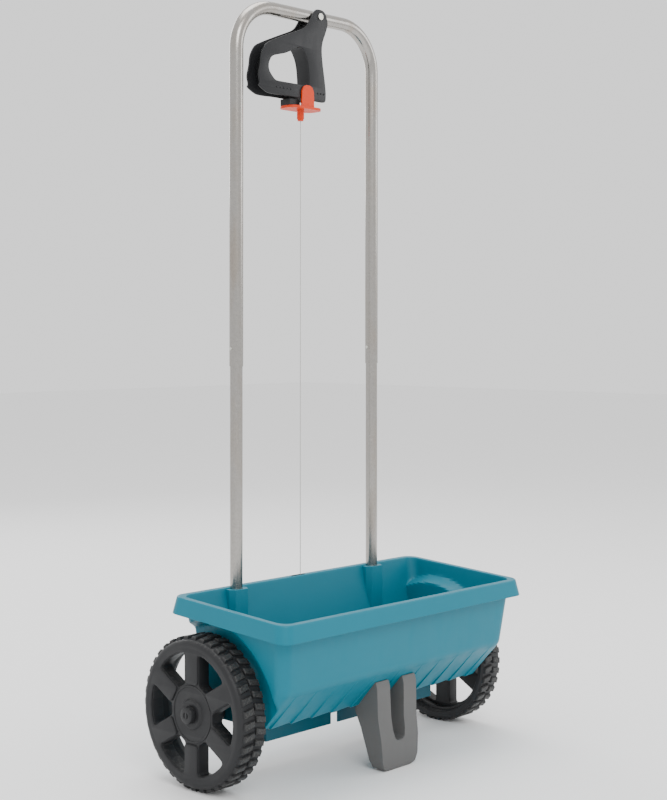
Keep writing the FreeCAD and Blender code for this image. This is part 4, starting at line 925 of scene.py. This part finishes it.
@dataclass
class Wheel:
    """One wheel with six spokes and two staggered rows of lugs. Sizes in millimetres."""

    side: int
    face: float = 305.0
    width: float = 50.0
    radius: float = 115.0
    tread: float = 110.6
    spoke: float = 31.0
    window: tuple[float, float] = (46.0, 91.0)
    lugs: int = 40
    spoke_depth: float = 23.0

    def star(self) -> list[Point]:
        """Return the hollow between the raised spokes: six windows joined by the recessed middle."""
        corners = []
        outer = self.window[1] + 1
        inner = self.window[0] + 1
        half = self.spoke / 2 - 1
        for number in range(6):
            middle = math.radians(60 * number + 30)
            near, far = math.asin(half / inner), math.asin(half / outer)
            corners += [(outer, middle - far), (inner, middle - near)]
            corners += [(inner, middle + near), (outer, middle + far)]
            gap = math.radians(60) - 2 * far
            corners += [(outer, middle + far + gap * share) for share in (0.25, 0.5, 0.75)]
        return filleted([(r * math.cos(a), DATUM.up + r * math.sin(a)) for r, a in corners], 6)

    def windows(self) -> list[list[Point]]:
        """Return the six windows between the spokes, with round corners."""
        half = self.spoke / 2
        inner, outer = self.window
        made = []
        for number in range(6):
            middle = math.radians(60 * number)
            near = math.radians(30) - math.asin(half / inner)
            far = math.radians(30) - math.asin(half / outer)
            corners = [(inner, -near)]
            corners += [(outer, far * share) for share in (-1, -0.6, -0.2, 0.2, 0.6, 1)]
            corners.append((inner, near))
            flat = [(r * math.cos(middle + a), DATUM.up + r * math.sin(middle + a)) for r, a in corners]
            made.append(filleted(flat, 6))
        return made

    def disc(self) -> bpy.types.Object:
        """Build the spokes and the rings that they join, as one thick plate."""
        near, far = sorted((self.side * (self.face - self.spoke_depth), self.side * (self.face - 3)))
        outlines = [circle(0, DATUM.up, 104, 120), circle(0, DATUM.up, 5.1, 32), *self.windows()]
        low = plate_piece("disc", outlines, near, far, Plane.SIDE, 0.8, TYRE)
        near, far = sorted((self.side * (self.face - 5), self.side * self.face))
        outlines = [circle(0, DATUM.up, 104.5, 120), self.star()]
        raised = plate_piece("raised", outlines, near, far, Plane.SIDE, 2.0, TYRE)
        return join("disc", [low, raised], TYRE)

    def rim(self) -> bpy.types.Object:
        """Build the rim under the lugs, with its round shoulder and the inner flange."""
        return turned("rim", [(0, 98), (0.4, 102), (0, 104), (-1.2, 106.8), (-4, 109.4), (-8, self.tread),
                              (-self.width + 3, self.tread), (-self.width, 107), (-self.width, 101),
                              (-self.width + 3, 99), (-self.width + 13, 97), (-self.width + 14, 94)],
                      self.face, self.side, TYRE)

    def hub_rings(self) -> list[bpy.types.Object]:
        """Build the hub's boss, the raised ring round its recess and the inner boss."""
        boss = turned("boss", [(0, 5.1), (0, 17), (0.4, 18.4), (0, 20.6), (-3.2, 23.4), (-36, 24),
                               (-self.width, 21), (-self.width, 5.1)], self.face, self.side, TYRE)
        ring = turned("ring", [(-3.4, 39.6), (-2.0, 40.6), (-2.0, 42.4), (-3.4, 43.4)], self.face,
                      self.side, TYRE)
        return [boss, ring]

    def lug(self, angle: float, near: float, length: float, lean: float) -> tuple[list, list]:
        """Build one lug, a leaning block with a narrower top.

        Args:
            angle: Where it stands round the wheel, in radians.
            near: Where it starts, measured in from the wheel's face.
            length: Its length along the axle.
            lean: How far it leans round the wheel over that length.

        Returns:
            Its points and its faces.
        """
        points = []
        for radius, half, inset in ((self.tread - 1, 5.6, 0.0), (self.radius - 1.2, 4.7, 0.9),
                                    (self.radius, 3.9, 2.4)):
            for along, shift in ((near + inset, 0.0), (near + length - inset, lean)):
                for edge in (-half, half):
                    turn = angle + (edge + shift) / self.radius
                    points.append((self.side * (self.face - along), radius * math.cos(turn),
                                   DATUM.up + radius * math.sin(turn)))
        faces = []
        for level in (0, 4):
            for a, b in ((0, 1), (1, 3), (3, 2), (2, 0)):
                faces.append([level + a, level + b, level + 4 + b, level + 4 + a])
        faces += [[8, 9, 11, 10], [0, 2, 3, 1]]
        return points, faces

    def tread_lugs(self) -> bpy.types.Object:
        """Build both rows of lugs."""
        points: list = []
        faces: list = []
        length = (self.width - 10) / 2
        for row, near in enumerate((5.4, 5.4 + length + 1.8)):
            for number in range(self.lugs):
                angle = 2 * math.pi * (number + 0.5 * row) / self.lugs
                spots, sides = self.lug(angle, near, length, 3.4 if row else -3.4)
                faces += [[len(points) + corner for corner in side] for side in sides]
                points += spots
        return piece("lugs", DATUM.metres(points), faces, TYRE, 20)

    def build(self) -> bpy.types.Object:
        """Build the whole wheel in place of its CAD node."""
        word = "left" if self.side < 0 else "right"
        parts = [self.disc(), self.rim(), *self.hub_rings(), self.tread_lugs()]
        made = join(f"{word}_wheel_moulding", parts, TYRE)
        body = "drive_axle" if self.side < 0 else "free_wheel"
        return fit_on(made, body, "wheel_plastic", f"{word}_wheel")

    def cap(self) -> bpy.types.Object:
        """Build the hub cap, with two small slots for a tool, in place of its CAD node."""
        word = "left" if self.side < 0 else "right"
        start = self.face + 0.6
        profile = [(0.9, 5.0), (0, 5.6), (0, 13), (1.2, 13), (6.4, 12.8), (8.2, 12.0), (9.0, 10.4)]
        ring = turned("cap_side", [*profile, (9.0, 5.2)], start, self.side, BLACK)
        near, far = sorted((self.side * (start + 6.8), self.side * (start + 8.8)))
        slots = [filleted([(y - 1.1, DATUM.up - 5), (y + 1.1, DATUM.up - 5), (y + 1.1, DATUM.up + 5),
                           (y - 1.1, DATUM.up + 5)], 0.8) for y in (-3.4, 3.4)]
        outlines = [circle(0, DATUM.up, 10.6), *slots]
        front = plate_piece("cap_front", outlines, near, far, Plane.SIDE, 0.3, BLACK)
        made = join(f"{word}_cap_moulding", [ring, front], BLACK)
        return fit_on(made, "drive_axle", "cap_plastic", f"{word}_hub_cap")


# ---------------------------------------------------------------- foot


@dataclass
class Foot:
    """The forked foot: two prongs that join in a round toe. Sizes in millimetres."""

    toe: float = 41.0
    half: float = 46.0
    slot: float = 16.0
    top: float = 140.0
    front_line: list[Point] = field(default_factory=lambda: [(0, -143), (6, -146), (20, -147), (50, -146),
                                                             (80, -141), (132, -139.5), (141, -135.5)])
    back_line: list[Point] = field(default_factory=lambda: [
        (0, -121), (8, -119.5), (34, -113), (66, -103), (88, -93), (94.5, -92), (99.6, -97.8),
        (141, -134.9)])

    def outline(self) -> list[Point]:
        """Return the fork seen from the front."""
        top = self.top
        half = [(self.toe - 16, 0), (self.toe - 5, 4), (self.toe, 16), (43.4, 46), (self.half - 0.6, 84),
                (self.half, 112), (self.half, top - 4), (self.half, top), (self.half - 4, top),
                (self.slot + 4, top), (self.slot, top), (self.slot, top - 4), (self.slot, 118),
                (self.slot - 2, 62), (self.slot - 5, 49), (6, 45)]
        left = [(-x, z) for x, z in reversed(half)]
        return filleted(half + left, 7)

    def build(self) -> bpy.types.Object:
        """Build the foot in place of its CAD node."""
        mesh = plate([self.outline()], -1.0, 1.0, Plane.FRONT, 0.12)
        work = bmesh.new()
        work.from_mesh(mesh)
        for height in range(4, int(self.top), 6):
            bmesh.ops.bisect_plane(work, geom=work.verts[:] + work.edges[:] + work.faces[:],
                                   plane_co=(0, 0, height * MM), plane_no=(0, 0, 1))
        for vert in work.verts:
            height = vert.co.z / MM
            share = (vert.co.y / MM - DATUM.back + 1) / 2
            front = np.interp(height, *zip(*self.front_line))
            back = np.interp(height, *zip(*self.back_line))
            vert.co.y = (front + (back - front) * share + DATUM.back) * MM
        work.to_mesh(mesh)
        work.free()
        made = settle("foot_moulding", mesh, FOOT, 30.0)
        return fit_on(made, "chassis", "foot_plastic", "foot")


# ---------------------------------------------------------------- grip


@dataclass
class Grip:
    """The squeeze grip, two plates and a web round the finger opening. Sizes in millimetres."""

    pivot: Point = (16.0, 1206.0)
    middle: float = 58.7
    reach: float = 12.0
    thick: float = 3.0
    outline: list[Point] = field(default_factory=lambda: [
        (-13, 8), (-8, 11.5), (0, 12), (8, 11), (14, 6), (19.5, -9), (14, -24), (5, -44), (4, -64),
        (14, -120), (14, -137), (11, -142), (-4, -142.5), (-70, -139.5), (-117, -141), (-128, -137),
        (-141, -130), (-137, -126), (-141, -113), (-136, -96), (-134, -78), (-124, -61), (-108, -53),
        (-62, -34), (-34, -23), (-22, -6)])
    opening: list[Point] = field(default_factory=lambda: [
        (-28, -78), (-24, -117), (-30, -118), (-96, -118), (-104, -117), (-117, -104), (-118, -92),
        (-110, -78), (-78, -71), (-50, -56), (-40, -57)])

    def spots(self, corners: list[Point]) -> list[Point]:
        """Shift an outline from the pivot into place."""
        return [(self.pivot[0] + x, self.pivot[1] + z) for x, z in corners]

    def widened(self, corners: list[Point], by: float) -> list[Point]:
        """Push an outline's points away from its middle."""
        middle = np.mean(corners, axis=0)
        made = []
        for before, here, after in zip(corners[-1:] + corners[:-1], corners, corners[1:] + corners[:1]):
            along = Vector(after) - Vector(before)
            side = Vector((along.y, -along.x)).normalized()
            if side.dot(Vector(here) - Vector(middle)) < 0:
                side = -side
            made.append((here[0] + side.x * by, here[1] + side.y * by))
        return made

    def build(self) -> bpy.types.Object:
        """Build the grip in place of its CAD node."""
        outside = self.spots(softened(self.outline, 2))
        inside = self.spots(softened(self.opening, 3))
        bore = circle(*self.pivot, 3.2, 24)
        front = self.middle - self.reach - self.thick
        back = self.middle + self.reach
        outlines = [outside, inside, bore]
        plates = [plate_piece("plate", outlines, near, near + self.thick, Plane.FRONT, 0.9, BLACK)
                  for near in (front, back)]
        web = plate_piece("web", [self.widened(inside, self.thick), self.widened(inside, 0.05)], front + 1,
                          back + self.thick - 1, Plane.FRONT, 0.3, BLACK)
        made = join("grip_moulding", [*plates, web, *self.detents(front, back)], BLACK)
        return fit_on(made, "grip", "grip_plastic", "grip_lever")

    def detents(self, front: float, back: float) -> list[bpy.types.Object]:
        """Build the row of small round stops along the lower bar, on both plates."""
        made = []
        height = self.pivot[1] - 128
        for x in (-84, -76, -68, -60, -52, 11, 18, 25):
            for near, far in ((front - 0.9, front + 0.5), (back + self.thick - 0.5, back + self.thick + 0.9)):
                dot = [circle(x, height, 1.5, 14)]
                made.append(plate_piece("detent", dot, near, far, Plane.FRONT, 0.4, BLACK))
        return made


# ---------------------------------------------------------------- cord


@dataclass
class PullCord:
    """The taut cord of three strands, and the loop that hangs over the shutter's hook."""

    strand: float = 0.36
    lay: float = 0.34
    pitch: float = 6.0

    def ends(self) -> tuple[Vector, Vector]:
        """Return the middle of the cord's two ends, read from its CAD node."""
        low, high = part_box("pull_cord")
        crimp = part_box("cord_crimp")
        foot = (crimp[0] + crimp[1]) / 2
        top_x = low.x if abs(high.x - foot.x) < abs(low.x - foot.x) else high.x
        top_y = low.y if abs(high.y - foot.y) < abs(low.y - foot.y) else high.y
        radius = 0.7 * MM
        inward = (math.copysign(radius, foot.x - top_x), math.copysign(radius, foot.y - top_y))
        return (Vector((top_x + inward[0], top_y + inward[1], high.z)),
                Vector((foot.x, foot.y, crimp[1].z)))

    def strands(self) -> list[bpy.types.Object]:
        """Build the three strands round the cord's middle line."""
        top, foot = self.ends()
        run = foot - top
        side = run.orthogonal().normalized()
        other = run.normalized().cross(side)
        count = int(run.length / (self.pitch * MM) * 8)
        made = []
        for number in range(3):
            path = []
            for step in range(count + 1):
                share = step / count
                turn = 2 * math.pi * (share * run.length / (self.pitch * MM) + number / 3)
                lift = (side * math.cos(turn) + other * math.sin(turn)) * self.lay * MM
                path.append(top + run * share + lift)
            made.append(tube_along("strand", np.array(path), self.strand, CORDAGE, resolution=0))
        return made

    def build(self) -> bpy.types.Object:
        """Build the cord in place of its CAD node."""
        made = join("pull_cord_strands", self.strands(), CORDAGE, 60)
        return fit_on(made, "cord", "cord_fibre", "pull_cord")

    def loop(self) -> bpy.types.Object:
        """Build the loop below the crimp, which is longer than the hook is thick."""
        low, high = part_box("cord_crimp")
        x = (low.x + high.x) / 2
        y = (low.y + high.y) / 2
        half, drop = 2.9, 9.6
        path = []
        for step in range(40):
            turn = 2 * math.pi * step / 40
            height = low.z - drop / 2 * MM + math.sin(turn) * (drop / 2 + 1.0) * MM
            path.append((x, y + math.cos(turn) * half * MM, height))
        made = tube_along("cord_loop", np.array(path), 0.6, CORDAGE, cyclic=True)
        return fit_on(made, "cord", "cord_fibre")


# ---------------------------------------------------------------- the rest


@dataclass
class Hardware:
    """The CAD nodes that keep their own shape: each gets its finish, and some a finer edge."""

    finishes: dict[str, Finish] = field(default_factory=lambda: {
        # The outlet shoe's finish is the tub's teal, darkened with painted shade.
        "outlet_shoe": SHADED_SHOE, "shutter_flap": ROLLER, "metering_roller": ROLLER, "clip_block": BLACK,
        "cord_guide": ROLLER, "dose_clip": ORANGE, "left_axle_bush": NYLON, "right_axle_bush": NYLON,
        "left_lower_tube": TUBE, "right_lower_tube": TUBE, "upper_handle": TUBE, "axle": BARE,
        "shutter_hinge_pin": BARE, "shutter_spring": BARE, "drive_pin": BARE, "axle_washers": ZINC,
        "joint_buttons": ZINC, "socket_screws": ZINC, "shoe_screws": ZINC, "foot_screws": ZINC,
        "grip_pivot_pin": ZINC, "grip_pivot_nut": ZINC, "cord_crimp": ZINC})
    bevels: dict[str, float] = field(default_factory=lambda: {
        "outlet_shoe": 0.8, "shutter_flap": 0.4, "dose_clip": 0.7, "clip_block": 0.8, "socket_screws": 0.4,
        "grip_pivot_pin": 0.4, "grip_pivot_nut": 0.4, "axle": 0.5, "axle_washers": 0.2, "cord_crimp": 0.3})

    def build(self) -> None:
        """Dress every node that is still shown."""
        for name, finish in self.finishes.items():
            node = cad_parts[name]
            node.data.materials.clear()
            node.data.materials.append(finish.material())
            if name in self.bevels:
                self.soften(node, self.bevels[name])
            log.info("%s: %s", name, finish.name)

    def soften(self, node: bpy.types.Object, width: float) -> None:
        """Join a node's split edges again and round them."""
        weld = node.modifiers.new("joined", "WELD")
        weld.merge_threshold = 0.01 * MM
        bevel = node.modifiers.new("edges", "BEVEL")
        bevel.width = width * MM
        bevel.segments = 2
        bevel.limit_method = "ANGLE"
        bevel.angle_limit = math.radians(35)
        bevel.harden_normals = True


@dataclass
class Studio:
    """The pale floor, the soft lights and the camera."""

    lens: float = 78.9
    place: tuple[float, float, float] = (-1725.2, -1650.7, 685.0)
    turn: float = -46.3
    shift_y: float = -0.1045

    def build(self) -> None:
        """Set up the whole studio."""
        self.floor()
        self.light("key", (-1.6, -2.6, 2.9), 1.8, 58.0)
        self.light("fill", (2.8, -1.8, 1.8), 1.6, 20.0)
        self.light("top", (0.2, 0.4, 3.4), 2.0, 56.0)
        self.light("rim", (0.8, 2.8, 1.8), 1.4, 22.0)
        world = bpy.data.worlds.new("studio")
        bpy.context.scene.world = world
        world.use_nodes = True
        world.node_tree.nodes["Background"].inputs[0].default_value = (1, 1, 1, 1)
        world.node_tree.nodes["Background"].inputs[1].default_value = 1.25
        camera = bpy.data.cameras.new("camera")
        camera.sensor_width = 36
        camera.sensor_fit = "HORIZONTAL"
        camera.lens = self.lens
        camera.shift_y = self.shift_y
        camera.clip_start, camera.clip_end = 0.05, 50
        made = bpy.data.objects.new("camera", camera)
        made.location = DATUM.metres(np.array([self.place]))[0]
        made.rotation_euler = (math.radians(90), 0, math.radians(self.turn))
        bpy.context.scene.collection.objects.link(made)
        bpy.context.scene.camera = made

    def floor(self) -> None:
        """Lay the pale floor."""
        mesh = bpy.data.meshes.new("floor")
        mesh.from_pydata([(-12, -12, 0), (12, -12, 0), (12, 12, 0), (-12, 12, 0)], [], [[0, 1, 2, 3]])
        made = bpy.data.objects.new("floor", mesh)
        material = bpy.data.materials.new("pale_floor")
        material.use_nodes = True
        shader = material.node_tree.nodes["Principled BSDF"]
        shader.inputs["Base Color"].default_value = (0.93, 0.93, 0.93, 1)
        shader.inputs["Roughness"].default_value = 0.7
        mesh.materials.append(material)
        bpy.context.scene.collection.objects.link(made)

    def light(self, name: str, place: tuple[float, float, float], size: float, power: float) -> None:
        """Hang one soft light that faces the machine."""
        lamp = bpy.data.lights.new(name, "AREA")
        lamp.size = size
        lamp.energy = power
        made = bpy.data.objects.new(name, lamp)
        made.location = place
        made.rotation_euler = (Vector((0, 0, 0.5)) - Vector(place)).to_track_quat("-Z", "Y").to_euler()
        bpy.context.scene.collection.objects.link(made)


def main() -> None:
    """Build the looks of every sub-assembly in order."""
    logging.basicConfig(level=logging.INFO, format="%(name)s %(message)s")
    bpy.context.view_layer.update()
    Studio().build()
    Tub().build()
    for side in (-1, 1):
        wheel = Wheel(side)
        wheel.build()
        wheel.cap()
    Foot().build()
    Grip().build()
    cord = PullCord()
    cord.build()
    cord.loop()
    Hardware().build()


if __name__ == "__main__":
    main()
